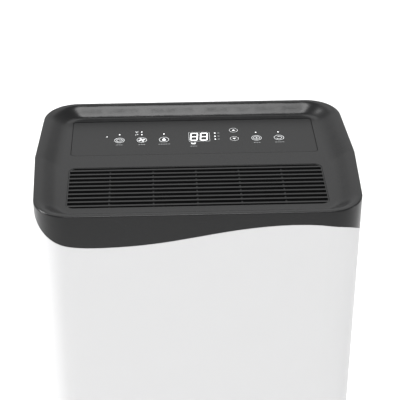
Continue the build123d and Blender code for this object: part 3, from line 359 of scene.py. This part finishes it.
def black_enamel(settings):
    """Sprayed black enamel with orange peel."""
    made = Finish("black_enamel", Coat_Weight=0.3)
    peel = made.noise(260.0, 2.0)
    made.set("Base Color", made.blend(peel, (0.01, 0.01, 0.011, 1), (0.02, 0.02, 0.022, 1)))
    made.set("Roughness", 0.25 + 0.12 * peel)
    made.bump(peel, 0.3, 0.2 * MM)
    return made.material


def board_green(settings):
    """Solder mask with faint traces."""
    made = Finish("board_green")
    lines = (made.along(0) * 900.0).wave() * (made.along(1) * 700.0).wave()
    made.set("Base Color", made.blend(lines > 0.7, (0.01, 0.09, 0.03, 1), (0.03, 0.17, 0.06, 1)))
    made.set("Roughness", 0.35 + 0.1 * made.noise(80.0))
    return made.material


def filter_net(settings):
    """A woven screen: fine square mesh, clear between its threads."""
    made = Finish("filter_net", Roughness=0.7)
    pitch = settings.net_pitch
    across = ((made.along(0) / pitch).fraction() - 0.5).size()
    up = ((made.along(2) / pitch).fraction() - 0.5).size()
    from_hole = across.most(up)
    thread = from_hole > 0.28
    made.set("Base Color", made.blend(made.noise(200.0), (0.012, 0.012, 0.013, 1), (0.04, 0.04, 0.042, 1)))
    made.set("Alpha", 0.25 + 0.75 * thread)
    made.bump(from_hole, 0.5, 0.2 * MM)
    return made.material


def float_foam(settings):
    """The float: pale closed foam."""
    return moulded("float_foam", (0.72, 0.72, 0.68), roughness=0.7, grain=700.0, depth=0.2 * MM)


# each light's name, place in metres, width and length in metres, and power in watts
LIGHTS = (
    ("left_softbox", (-1.9, -0.3, 0.7), 0.25, 1.4, 5),
    ("right_softbox", (2.0, -0.3, 0.7), 0.1, 1.4, 5),
    ("overhead_softbox", (-0.03, -2.01, 3.11), 1.35, 1.3, 64),
    ("left_lamp", (-1.8, 0.34, 2.12), 0.15, 0.15, 50),
    ("rear_softbox", (0.0, 2.4, 1.9), 2.4, 1.2, 4),
    ("upper_softbox", (0.0, 1.2, 2.7), 2.4, 1.6, 20),
)

# which finish each node takes, by the end or the whole of its name
FINISHES = {
    "top_cover": cover_charcoal, "outlet_grille": grille_charcoal, "control_panel": overlay_charcoal,
    "front_shell": casing_white, "rear_shell": casing_white, "left_grip_cup": casing_white,
    "right_grip_cup": casing_white, "tank_front": casing_white, "intake_grille": casing_white,
    "tank_lid": casing_white, "base_pan": base_grey, "bay_frame": inner_grey, "scroll_case": inner_grey,
    "scroll_inlet": inner_grey, "drip_tray": inner_grey, "drain_elbow": inner_grey,
    "control_box": inner_grey, "tank_handle": base_grey, "filter_frame": base_grey,
    "drain_bung": soft_black, "compressor_grommets": soft_black, "cord_gland": hard_black,
    "float_sensor": hard_black, "terminal_cover": hard_black, "fan_wheel": hard_black,
    "display_module": hard_black, "tank": tank_smoke, "tank_window": window_clear,
    "float_arm": float_foam, "float_magnet": zinc_steel, "filter_mesh": filter_net,
    "evaporator_fins": fin_stock, "condenser_fins": fin_stock, "evaporator_tube": copper_tube,
    "condenser_tube": copper_tube, "discharge_pipe": copper_tube, "suction_pipe": copper_tube,
    "capillary_tube": copper_tube, "filter_drier": copper_tube, "coil_end_plates": zinc_steel,
    "compressor_studs": zinc_steel, "fan_shaft": zinc_steel, "case_screws": zinc_steel,
    "compressor": black_enamel, "accumulator": black_enamel, "fan_motor": black_enamel,
    "display_board": board_green, "main_board": board_green, "castor_fork": hard_black,
    "castor_axle": zinc_steel, "castor_wheel": tyre_grey,
}


# ------------------------------------------------------------------ settings
class DEHUMIDIFIER_PG_finishes(PropertyGroup):
    """Colours and textures of the finishes."""

    casing: FloatVectorProperty(
        name="Casing white", description="Colour of the casing shells", subtype="COLOR",
        default=(0.57, 0.57, 0.573), min=0, max=1,
    )
    cover: FloatVectorProperty(
        name="Cover charcoal", description="Colour of the top cover", subtype="COLOR",
        default=(0.0048, 0.005, 0.0053), min=0, max=1,
    )
    cover_roughness: FloatProperty(
        name="Cover roughness", description="How dull the top cover is", default=0.27, min=0, max=1,
    )
    grille: FloatVectorProperty(
        name="Grille charcoal", description="Colour of the outlet grille", subtype="COLOR",
        default=(0.0048, 0.005, 0.0053), min=0, max=1,
    )
    overlay: FloatVectorProperty(
        name="Overlay charcoal", description="Colour of the control panel", subtype="COLOR",
        default=(0.0048, 0.005, 0.0053), min=0, max=1,
    )
    ink: FloatVectorProperty(
        name="Ink", description="Colour of the printed marks", subtype="COLOR",
        default=(0.75, 0.76, 0.77), min=0, max=1,
    )
    lamp: FloatVectorProperty(
        name="Lamp", description="Colour of the lit marks", subtype="COLOR",
        default=(0.98, 0.99, 1.0), min=0, max=1,
    )
    inner: FloatVectorProperty(
        name="Inner grey", description="Colour of the inner mouldings", subtype="COLOR",
        default=(0.3, 0.31, 0.32), min=0, max=1,
    )
    base: FloatVectorProperty(
        name="Base grey", description="Colour of the base pan", subtype="COLOR",
        default=(0.03, 0.031, 0.033), min=0, max=1,
    )
    net_pitch: FloatProperty(
        name="Net pitch", description="Distance between the filter's threads", default=1.6 * MM,
        min=0.0002, unit="LENGTH",
    )


class DEHUMIDIFIER_PG_panel(PropertyGroup):
    """Sizes of the marks on the control panel."""

    key: FloatProperty(
        name="Key", description="Diameter of a touch key's ring", default=12.4 * MM, unit="LENGTH",
    )
    arrow_key: FloatProperty(
        name="Arrow key", description="Diameter of an arrow key's ring", default=10.6 * MM, unit="LENGTH",
    )
    line: FloatProperty(
        name="Line", description="Width of a printed line", default=0.5 * MM, unit="LENGTH",
    )
    lamp: FloatProperty(
        name="Lamp", description="Diameter of an indicator lamp", default=1.7 * MM, unit="LENGTH",
    )
    digit_height: FloatProperty(
        name="Digit height", description="Height of the display's digits", default=19.0 * MM, unit="LENGTH",
    )
    digit_width: FloatProperty(
        name="Digit width", description="Width of the display's digits", default=9.6 * MM, unit="LENGTH",
    )
    # The edge and corner settings size the painted shadow line, a near-black frame standing in for the shade
    # in the groove round the panel.
    edge: FloatProperty(
        name="Edge", description="Width of the dark line round the panel", default=0.4 * MM, unit="LENGTH",
    )
    corner: FloatProperty(
        name="Corner", description="How far the dark line's corners are rounded", default=5.5 * MM,
        unit="LENGTH",
    )
    stroke: FloatProperty(
        name="Stroke", description="Width of a digit's strokes", default=1.5 * MM, unit="LENGTH",
    )
    ink: FloatProperty(
        name="Ink", description="Thickness of the print", default=0.08 * MM, unit="LENGTH",
    )


class DEHUMIDIFIER_PG_stage(PropertyGroup):
    """Camera, lights and floor."""

    camera: FloatVectorProperty(
        name="Camera", description="Place of the camera", subtype="TRANSLATION",
        default=(-0.04515, -1.3335, 1.3742),
    )
    pitch: FloatProperty(
        name="Pitch", description="Camera tilt from straight down", subtype="ANGLE",
        default=math.radians(57.81),
    )
    turn: FloatProperty(
        name="Turn", description="Camera turn to the left", subtype="ANGLE", default=math.radians(-2.179),
    )
    lens: FloatProperty(name="Lens", description="Focal length in millimetres", default=115.69, min=10)
    sky: FloatProperty(name="Sky", description="Brightness of the surroundings", default=0.65, min=0)


# ------------------------------------------------------------------ modelling helpers
def clear_selection():
    """Leaves object mode with nothing selected."""
    if bpy.context.object and bpy.context.object.mode != "OBJECT":
        bpy.ops.object.mode_set(mode="OBJECT")
    bpy.ops.object.select_all(action="DESELECT")


def settle(piece, name, body, material):
    """Names a finished piece, applies its place, and gives it its finish and its body."""
    clear_selection()
    piece.select_set(True)
    bpy.context.view_layer.objects.active = piece
    bpy.ops.object.transform_apply(location=True, rotation=True, scale=True)
    piece.name = name
    piece.data.name = name
    piece.data.materials.clear()
    piece.data.materials.append(material)
    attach(piece, body)
    return piece


def join(parts):
    """Joins several pieces into one mesh."""
    clear_selection()
    for part in parts:
        part.select_set(True)
    bpy.context.view_layer.objects.active = parts[0]
    bpy.ops.object.join()
    return bpy.context.object


def edit_all():
    """Enters edit mode with everything selected."""
    bpy.ops.object.mode_set(mode="EDIT")
    bpy.ops.mesh.select_all(action="SELECT")


def disc(x, y, z, radius, thickness, sides=32):
    """A flat printed disc."""
    clear_selection()
    bpy.ops.mesh.primitive_circle_add(
        vertices=sides, radius=radius, fill_type="NGON", location=(x, y, z)
    )
    edit_all()
    bpy.ops.mesh.extrude_region_move(TRANSFORM_OT_translate={"value": (0, 0, thickness)})
    bpy.ops.mesh.select_all(action="SELECT")
    bpy.ops.mesh.normals_make_consistent(inside=False)
    bpy.ops.object.mode_set(mode="OBJECT")
    return bpy.context.object


def ring(x, y, z, radius, line, thickness, sides=48, arc=1.0, start=0.0):
    """A flat printed ring, or an arc of one: a radial bar spun round the centre."""
    clear_selection()
    bpy.ops.mesh.primitive_plane_add(size=1, location=(x, y, z))
    edit_all()
    bpy.ops.transform.resize(value=(line, thickness, 1))
    bpy.ops.transform.rotate(value=math.pi / 2, orient_axis="X", center_override=(x, y, z))
    bpy.ops.transform.translate(value=(radius - line / 2, 0, thickness / 2))
    if start:
        bpy.ops.transform.rotate(value=-start, orient_axis="Z", center_override=(x, y, z))
    bpy.ops.mesh.spin(steps=sides, angle=math.tau * arc, center=(x, y, z), axis=(0, 0, 1), dupli=False)
    bpy.ops.mesh.select_all(action="SELECT")
    bpy.ops.mesh.remove_doubles(threshold=0.005 * MM)
    if arc == 1.0:
        bpy.ops.mesh.select_all(action="DESELECT")
        bpy.ops.mesh.select_interior_faces()
        bpy.ops.mesh.delete(type="FACE")
        bpy.ops.mesh.select_all(action="SELECT")
    bpy.ops.mesh.normals_make_consistent(inside=False)
    bpy.ops.object.mode_set(mode="OBJECT")
    return bpy.context.object


def shape(points, z, thickness):
    """A flat printed shape with straight sides."""
    clear_selection()
    bpy.ops.mesh.primitive_circle_add(
        vertices=len(points), radius=MM, fill_type="NGON", location=(0, 0, z)
    )
    made = bpy.context.object
    for vertex, (x, y) in zip(made.data.vertices, points):
        vertex.co = (x, y, 0)
    edit_all()
    bpy.ops.mesh.extrude_region_move(TRANSFORM_OT_translate={"value": (0, 0, thickness)})
    bpy.ops.mesh.select_all(action="SELECT")
    bpy.ops.mesh.normals_make_consistent(inside=False)
    bpy.ops.object.mode_set(mode="OBJECT")
    return made


def bar(x, y, width, length, z, thickness):
    """A flat printed bar."""
    half_w, half_l = width / 2, length / 2
    corners = [(-half_w, -half_l), (half_w, -half_l), (half_w, half_l), (-half_w, half_l)]
    return shape([(x + cx, y + cy) for cx, cy in corners], z, thickness)


def panel_shadow_line(low, high, width, corner, thickness):
    """The painted shadow line round the control panel: an inset frame with rounded corners, standing in for
    the shade in the groove.
    """
    clear_selection()
    middle = (low + high) / 2
    bpy.ops.mesh.primitive_plane_add(size=1, location=(middle.x, middle.y, high.z))
    edit_all()
    bpy.ops.transform.resize(value=(high.x - low.x, high.y - low.y, 1))
    bpy.ops.mesh.bevel(offset=corner, offset_pct=0, segments=8, affect="VERTICES")
    bpy.ops.mesh.select_mode(type="FACE")
    bpy.ops.mesh.select_all(action="SELECT")
    bpy.ops.mesh.inset(thickness=width)
    bpy.ops.mesh.delete(type="FACE")
    bpy.ops.mesh.select_all(action="SELECT")
    bpy.ops.mesh.extrude_region_move(TRANSFORM_OT_translate={"value": (0, 0, thickness)})
    bpy.ops.mesh.select_all(action="SELECT")
    bpy.ops.mesh.normals_make_consistent(inside=False)
    bpy.ops.object.mode_set(mode="OBJECT")
    return bpy.context.object


# ------------------------------------------------------------------ the control panel's print
# places on the panel, in millimetres to the right of its middle (x) and behind it (y)
TIMER_X, SPEED_X, HUMIDITY_X, MODE_X, POWER_X = -92.2, -64.5, -36.9, 78.4, 106.5
KEY_Y, KEY_LAMP_Y, KEY_DASHES_Y = -5.6, 8.5, -17.0
KEY_DASHES = {TIMER_X: 3, SPEED_X: 3, HUMIDITY_X: 5, MODE_X: 3, POWER_X: 4}
SPEED_SYMBOL_X = -70.8
SPEED_SYMBOLS = ((14.6, 3), (8.0, 2))  # y and number of blades
ARROW_X = 50.7
ARROW_KEYS = ((15.0, 1), (-6.3, -1))  # y and the way it points
DISPLAY_LEFT, DISPLAY_RIGHT, DISPLAY_FRONT, DISPLAY_BACK = -5.8, 20.0, -11.4, 11.2
DIGITS_X = (0.65, 12.85)
BUCKET = (-0.6, -16.6)
BUCKET_DASHES = (-0.5, -23.4)
LEVEL_LAMP_X, LEVEL_DASH_X = 26.9, 31.3
LEVELS_Y = (8.4, 0.7, -6.9)
SIDE_LAMP = (-107.8, 3.6)
DASH_PITCH, DASH_LENGTH, DASH_WIDTH = 3.0, 2.2, 0.9
LEVEL_DASH_LENGTH, LEVEL_DASH_WIDTH = 2.4, 1.0
DIGIT_GAP = 0.25 * MM
DIGIT_SLANT = 0.06

# outlines of the symbols
FAN_BLADE = ((-0.1, 0.1), (-0.35, 0.62), (0.1, 0.74), (0.5, 0.6), (0.6, 0.15))  # radians, key radii
SPEED_BLADE = ((-0.9, 0.25), (-0.35, 1.0), (0.35, 1.0), (0.5, 0.25))  # radians, blade lengths
SPEED_BLADE_LENGTH = 2.1 * MM
BUCKET_OUTLINE = (
    (-2.3, -1.8), (2.3, -1.8), (3.2, 2.0), (1.6, 2.0), (1.2, 0.9), (-1.2, 0.9), (-1.6, 2.0), (-3.2, 2.0),
)  # millimetres


def polar(x, y, corners, reach, turn):
    """Corners given by angle and distance, turned and scaled about a point."""
    return [(x + distance * reach * math.cos(turn + angle), y + distance * reach * math.sin(turn + angle))
            for angle, distance in corners]


class PanelPrint:
    """The control panel's print being put together: its marks, its lamps and its dashes."""

    def __init__(self, sizes):
        self.low, self.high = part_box("control_panel")
        self.middle = (self.low + self.high) / 2
        self.z = self.high.z
        self.sizes = sizes
        self.key = sizes.key / 2
        self.line = sizes.line
        self.ink = sizes.ink
        self.marks, self.lamps, self.dashes = [], [], []

    def at(self, x, y):
        """A place on the panel."""
        return self.middle.x + x * MM, self.middle.y + y * MM

    def ring(self, x, y, radius, line, sides=48, **arc):
        """Prints a ring."""
        self.marks.append(ring(x, y, self.z, radius, line, self.ink, sides, **arc))

    def bar(self, x, y, width, length):
        """Prints a bar."""
        self.marks.append(bar(x, y, width, length, self.z, self.ink))

    def shape(self, points):
        """Prints a shape with straight sides."""
        self.marks.append(shape(points, self.z, self.ink))

    def lamp(self, x, y, size=0.5):
        """Prints a lamp: its radius is a share of a lamp's diameter."""
        lx, ly = self.at(x, y)
        self.lamps.append(disc(lx, ly, self.z, size * self.sizes.lamp, self.ink, 20))

    def dash(self, x, y, length=DASH_LENGTH, width=DASH_WIDTH):
        """Prints one dash."""
        dx, dy = self.at(x, y)
        self.dashes.append(bar(dx, dy, length * MM, width * MM, self.z, self.ink))

    def dash_row(self, x, y, count):
        """Prints a row of dashes about its middle."""
        for number in range(count):
            self.dash(x + (number - (count - 1) / 2) * DASH_PITCH, y)

    def round_keys(self):
        """Five round keys with dashes under them, and a lamp over all but the speed key."""
        for x, dashes in KEY_DASHES.items():
            self.ring(*self.at(x, KEY_Y), self.key, self.line)
            if x != SPEED_X:
                self.lamp(x, KEY_LAMP_Y)
            self.dash_row(x, KEY_DASHES_Y, dashes)

    def timer(self):
        """The timer's clock face and its two hands."""
        x, y = self.at(TIMER_X, KEY_Y)
        self.ring(x, y, 0.62 * self.key, 1.2 * self.line, 32)
        self.bar(x, y + 0.2 * self.key, 0.7 * self.line, 0.42 * self.key)
        self.bar(x + 0.15 * self.key, y, 0.4 * self.key, 0.7 * self.line)

    def fan(self):
        """The speed key's fan with four blades."""
        x, y = self.at(SPEED_X, KEY_Y)
        for quarter in range(4):
            self.shape(polar(x, y, FAN_BLADE, self.key, quarter * math.pi / 2 + 0.4))
        self.marks.append(disc(x, y, self.z, 0.16 * self.key, self.ink, 16))

    def speeds(self):
        """Two speeds: a small symbol and a lamp for each."""
        for height, blades in SPEED_SYMBOLS:
            x, y = self.at(SPEED_SYMBOL_X, height)
            for number in range(blades):
                turn = number * math.tau / blades + 0.5
                self.shape(polar(x, y, SPEED_BLADE, SPEED_BLADE_LENGTH, turn))
            self.lamp(SPEED_X, height)

    def drop(self):
        """The humidity key's drop: a point over most of a circle."""
        x, y = self.at(HUMIDITY_X, KEY_Y)
        outline = [(x, y + 0.66 * self.key)]
        for step in range(13):
            angle = math.radians(30 - step * 20)
            outline.append((x + 0.38 * self.key * math.cos(angle),
                            y - 0.14 * self.key + 0.38 * self.key * math.sin(angle)))
        self.shape(outline[::-1])

    def mode(self):
        """The mode key's inner ring round a small triangle."""
        x, y = self.at(MODE_X, KEY_Y)
        self.ring(x, y, 0.64 * self.key, self.line, 32)
        foot, half, tip = y - 0.2 * self.key, 0.22 * self.key, y + 0.26 * self.key
        self.shape([(x - half, foot), (x + half, foot), (x, tip)])

    def power(self):
        """The power key's broken ring and bar."""
        x, y = self.at(POWER_X, KEY_Y)
        self.ring(x, y, 0.58 * self.key, 1.1 * self.line, 32, arc=0.8, start=math.radians(126))
        self.bar(x, y + 0.42 * self.key, self.line, 0.5 * self.key)

    def arrow_keys(self):
        """An arrow key that points back and one that points forwards."""
        for height, way in ARROW_KEYS:
            x, y = self.at(ARROW_X, height)
            self.ring(x, y, self.sizes.arrow_key / 2, 0.7 * self.line)
            foot, half, tip = y - way * 1.5 * MM, 2.2 * MM, y + way * 2.0 * MM
            self.shape([(x - half, foot), (x + half, foot), (x, tip)][::way])

    def display_frame(self):
        """The thin frame round the display, finest at the back."""
        middle_x, middle_y = (DISPLAY_LEFT + DISPLAY_RIGHT) / 2, (DISPLAY_FRONT + DISPLAY_BACK) / 2
        width, length = (DISPLAY_RIGHT - DISPLAY_LEFT) * MM, (DISPLAY_BACK - DISPLAY_FRONT) * MM
        for x in (DISPLAY_LEFT, DISPLAY_RIGHT):
            self.bar(*self.at(x, middle_y), 0.6 * self.line, length)
        self.bar(*self.at(middle_x, DISPLAY_FRONT), width, 0.6 * self.line)
        self.bar(*self.at(middle_x, DISPLAY_BACK), width, 0.35 * self.line)

    def full_tank(self):
        """The full tank's small bucket, with dashes in front of it."""
        x, y = self.at(*BUCKET)
        self.shape([(x + px * MM, y + py * MM) for px, py in BUCKET_OUTLINE])
        self.dash_row(*BUCKET_DASHES, 3)

    def levels(self):
        """Three level lamps with a dash beside each, and the lamp at the panel's left end."""
        for y in LEVELS_Y:
            self.lamp(LEVEL_LAMP_X, y, 0.55)
            self.dash(LEVEL_DASH_X, y, LEVEL_DASH_LENGTH, LEVEL_DASH_WIDTH)
        self.lamp(*SIDE_LAMP, 0.42)

    def level_segment(self, x, y, reach):
        """A level segment of a digit, pointed at both ends."""
        half = self.sizes.stroke / 2
        self.lamps.append(shape([
            (x - reach, y), (x - reach + half, y - half), (x + reach - half, y - half),
            (x + reach, y), (x + reach - half, y + half), (x - reach + half, y + half),
        ], self.z, self.ink))

    def upright_segment(self, foot_x, foot_y, head_x, head_y):
        """An upright segment of a digit, pointed at both ends."""
        half = self.sizes.stroke / 2
        self.lamps.append(shape([
            (foot_x, foot_y), (foot_x + half, foot_y + half), (head_x + half, head_y - half),
            (head_x, head_y), (head_x - half, head_y - half), (foot_x - half, foot_y + half),
        ], self.z, self.ink))

    def digits(self):
        """The display's two seven-segment digits, leaning a little."""
        half_w = (self.sizes.digit_width - self.sizes.stroke) / 2
        half_h = (self.sizes.digit_height - self.sizes.stroke) / 2
        for place in DIGITS_X:
            x, y = self.at(place, 0.0)
            for height in (-half_h, 0, half_h):
                self.level_segment(x + DIGIT_SLANT * height, y + height, half_w - DIGIT_GAP)
            for side in (-half_w, half_w):
                for low_end, high_end in ((-half_h, 0), (0, half_h)):
                    foot, head = low_end + DIGIT_GAP, high_end - DIGIT_GAP
                    self.upright_segment(x + side + DIGIT_SLANT * foot, y + foot,
                                         x + side + DIGIT_SLANT * head, y + head)


# ------------------------------------------------------------------ operators
class DEHUMIDIFIER_OT_finish_mouldings(Operator):
    """Give every part of the model its finish and soften its shading"""

    bl_idname = "dehumidifier.finish_mouldings"
    bl_label = "Finish the model's parts"

    def execute(self, context):
        settings = context.scene.dehumidifier_finishes
        made = {}
        for name, node in NODES.items():
            ending = name if name in FINISHES else "_".join(name.split("_")[-2:])
            maker = FINISHES[ending]
            if maker not in made:
                made[maker] = maker(settings)
            node.data.materials.clear()
            node.data.materials.append(made[maker])
            for polygon in node.data.polygons:
                polygon.use_smooth = True
            weld = node.modifiers.new("weld", "WELD")
            weld.merge_threshold = 0.01 * MM
            split = node.modifiers.new("edges", "EDGE_SPLIT")
            split.split_angle = SHARPEST_SMOOTH_EDGE
        return {"FINISHED"}


class DEHUMIDIFIER_OT_print_panel(Operator):
    """Print the touch keys, their symbols and dashes on the control panel"""

    bl_idname = "dehumidifier.print_panel"
    bl_label = "Print the control panel"

    def execute(self, context):
        sizes = context.scene.dehumidifier_panel
        settings = context.scene.dehumidifier_finishes
        panel = PanelPrint(sizes)
        panel.round_keys()
        panel.timer()
        panel.fan()
        panel.speeds()
        panel.drop()
        panel.mode()
        panel.power()
        panel.arrow_keys()
        panel.display_frame()
        panel.full_tank()
        panel.levels()
        panel.digits()
        # The outline round the panel is painted shade: a near-black frame standing in for the shadow in the
        # groove.
        edge = panel_shadow_line(panel.low, panel.high, sizes.edge, sizes.corner, sizes.ink)
        settle(edge, "panel_shadow_line", "casing", painted_groove_shadow())
        settle(join(panel.dashes), "panel_dashes", "casing", ink_grey(settings))
        settle(join(panel.marks), "panel_print", "casing", ink_white(settings))
        settle(join(panel.lamps), "panel_lamps", "casing", lamp_white(settings))
        return {"FINISHED"}


class DEHUMIDIFIER_OT_set_stage(Operator):
    """Set the camera, the pale floor and the studio lights"""

    bl_idname = "dehumidifier.set_stage"
    bl_label = "Set the stage"

    def execute(self, context):
        stage = context.scene.dehumidifier_stage
        clear_selection()
        bpy.ops.object.camera_add(location=stage.camera, rotation=(stage.pitch, 0, stage.turn))
        camera = context.object
        camera.data.lens = stage.lens
        camera.data.sensor_width = 36
        context.scene.camera = camera
        context.scene.view_settings.view_transform = "Standard"

        world = bpy.data.worlds.new("studio")
        world.use_nodes = True
        world.node_tree.nodes["Background"].inputs["Color"].default_value = (1, 1, 1, 1)
        world.node_tree.nodes["Background"].inputs["Strength"].default_value = stage.sky
        context.scene.world = world

        clear_selection()
        bpy.ops.mesh.primitive_grid_add(x_subdivisions=4, y_subdivisions=4, size=12, location=(0, 0, 0))
        floor = context.object
        floor.name = "floor"
        pale = Finish("pale_floor", Roughness=0.8)
        pale.set("Base Color", pale.blend(pale.noise(3.0), (0.93, 0.93, 0.93, 1), (0.95, 0.95, 0.95, 1)))
        floor.data.materials.append(pale.material)

        aim = Vector((0, 0, 0.8 * Vector(CAD_BOX[1]).z))
        for name, place, width, length, power in LIGHTS:
            clear_selection()
            bpy.ops.object.light_add(type="AREA", location=place)
            light = context.object
            light.name = name
            light.data.shape = "RECTANGLE"
            light.data.size = width
            light.data.size_y = length
            light.data.energy = power
            light.rotation_euler = (aim - Vector(place)).to_track_quat("-Z", "Y").to_euler()
        return {"FINISHED"}


class DEHUMIDIFIER_PT_tools(Panel):
    """The dehumidifier's finishing steps, in order"""

    bl_idname = "DEHUMIDIFIER_PT_tools"
    bl_label = "Dehumidifier"
    bl_space_type = "VIEW_3D"
    bl_region_type = "UI"
    bl_category = "Dehumidifier"

    def draw(self, context):
        for step in STEPS:
            self.layout.operator(step.bl_idname)
        for group in ("dehumidifier_finishes", "dehumidifier_panel", "dehumidifier_stage"):
            values = getattr(context.scene, group)
            for name in values.__annotations__:
                self.layout.prop(values, name)


STEPS = (
    DEHUMIDIFIER_OT_set_stage,
    DEHUMIDIFIER_OT_finish_mouldings,
    DEHUMIDIFIER_OT_print_panel,
)
GROUPS = {
    "dehumidifier_finishes": DEHUMIDIFIER_PG_finishes,
    "dehumidifier_panel": DEHUMIDIFIER_PG_panel,
    "dehumidifier_stage": DEHUMIDIFIER_PG_stage,
}


def register():
    """Adds the settings, the steps and the sidebar panel."""
    for name, group in GROUPS.items():
        bpy.utils.register_class(group)
        setattr(bpy.types.Scene, name, PointerProperty(type=group))
    for step in STEPS:
        bpy.utils.register_class(step)
    bpy.utils.register_class(DEHUMIDIFIER_PT_tools)


def unregister():
    """Takes them away again."""
    bpy.utils.unregister_class(DEHUMIDIFIER_PT_tools)
    for step in reversed(STEPS):
        bpy.utils.unregister_class(step)
    for name, group in GROUPS.items():
        delattr(bpy.types.Scene, name)
        bpy.utils.unregister_class(group)


def main():
    """Runs every step in order."""
    register()
    for step in STEPS:
        group, name = step.bl_idname.split(".")
        getattr(getattr(bpy.ops, group), name)()


if __name__ == "__main__":
    main()
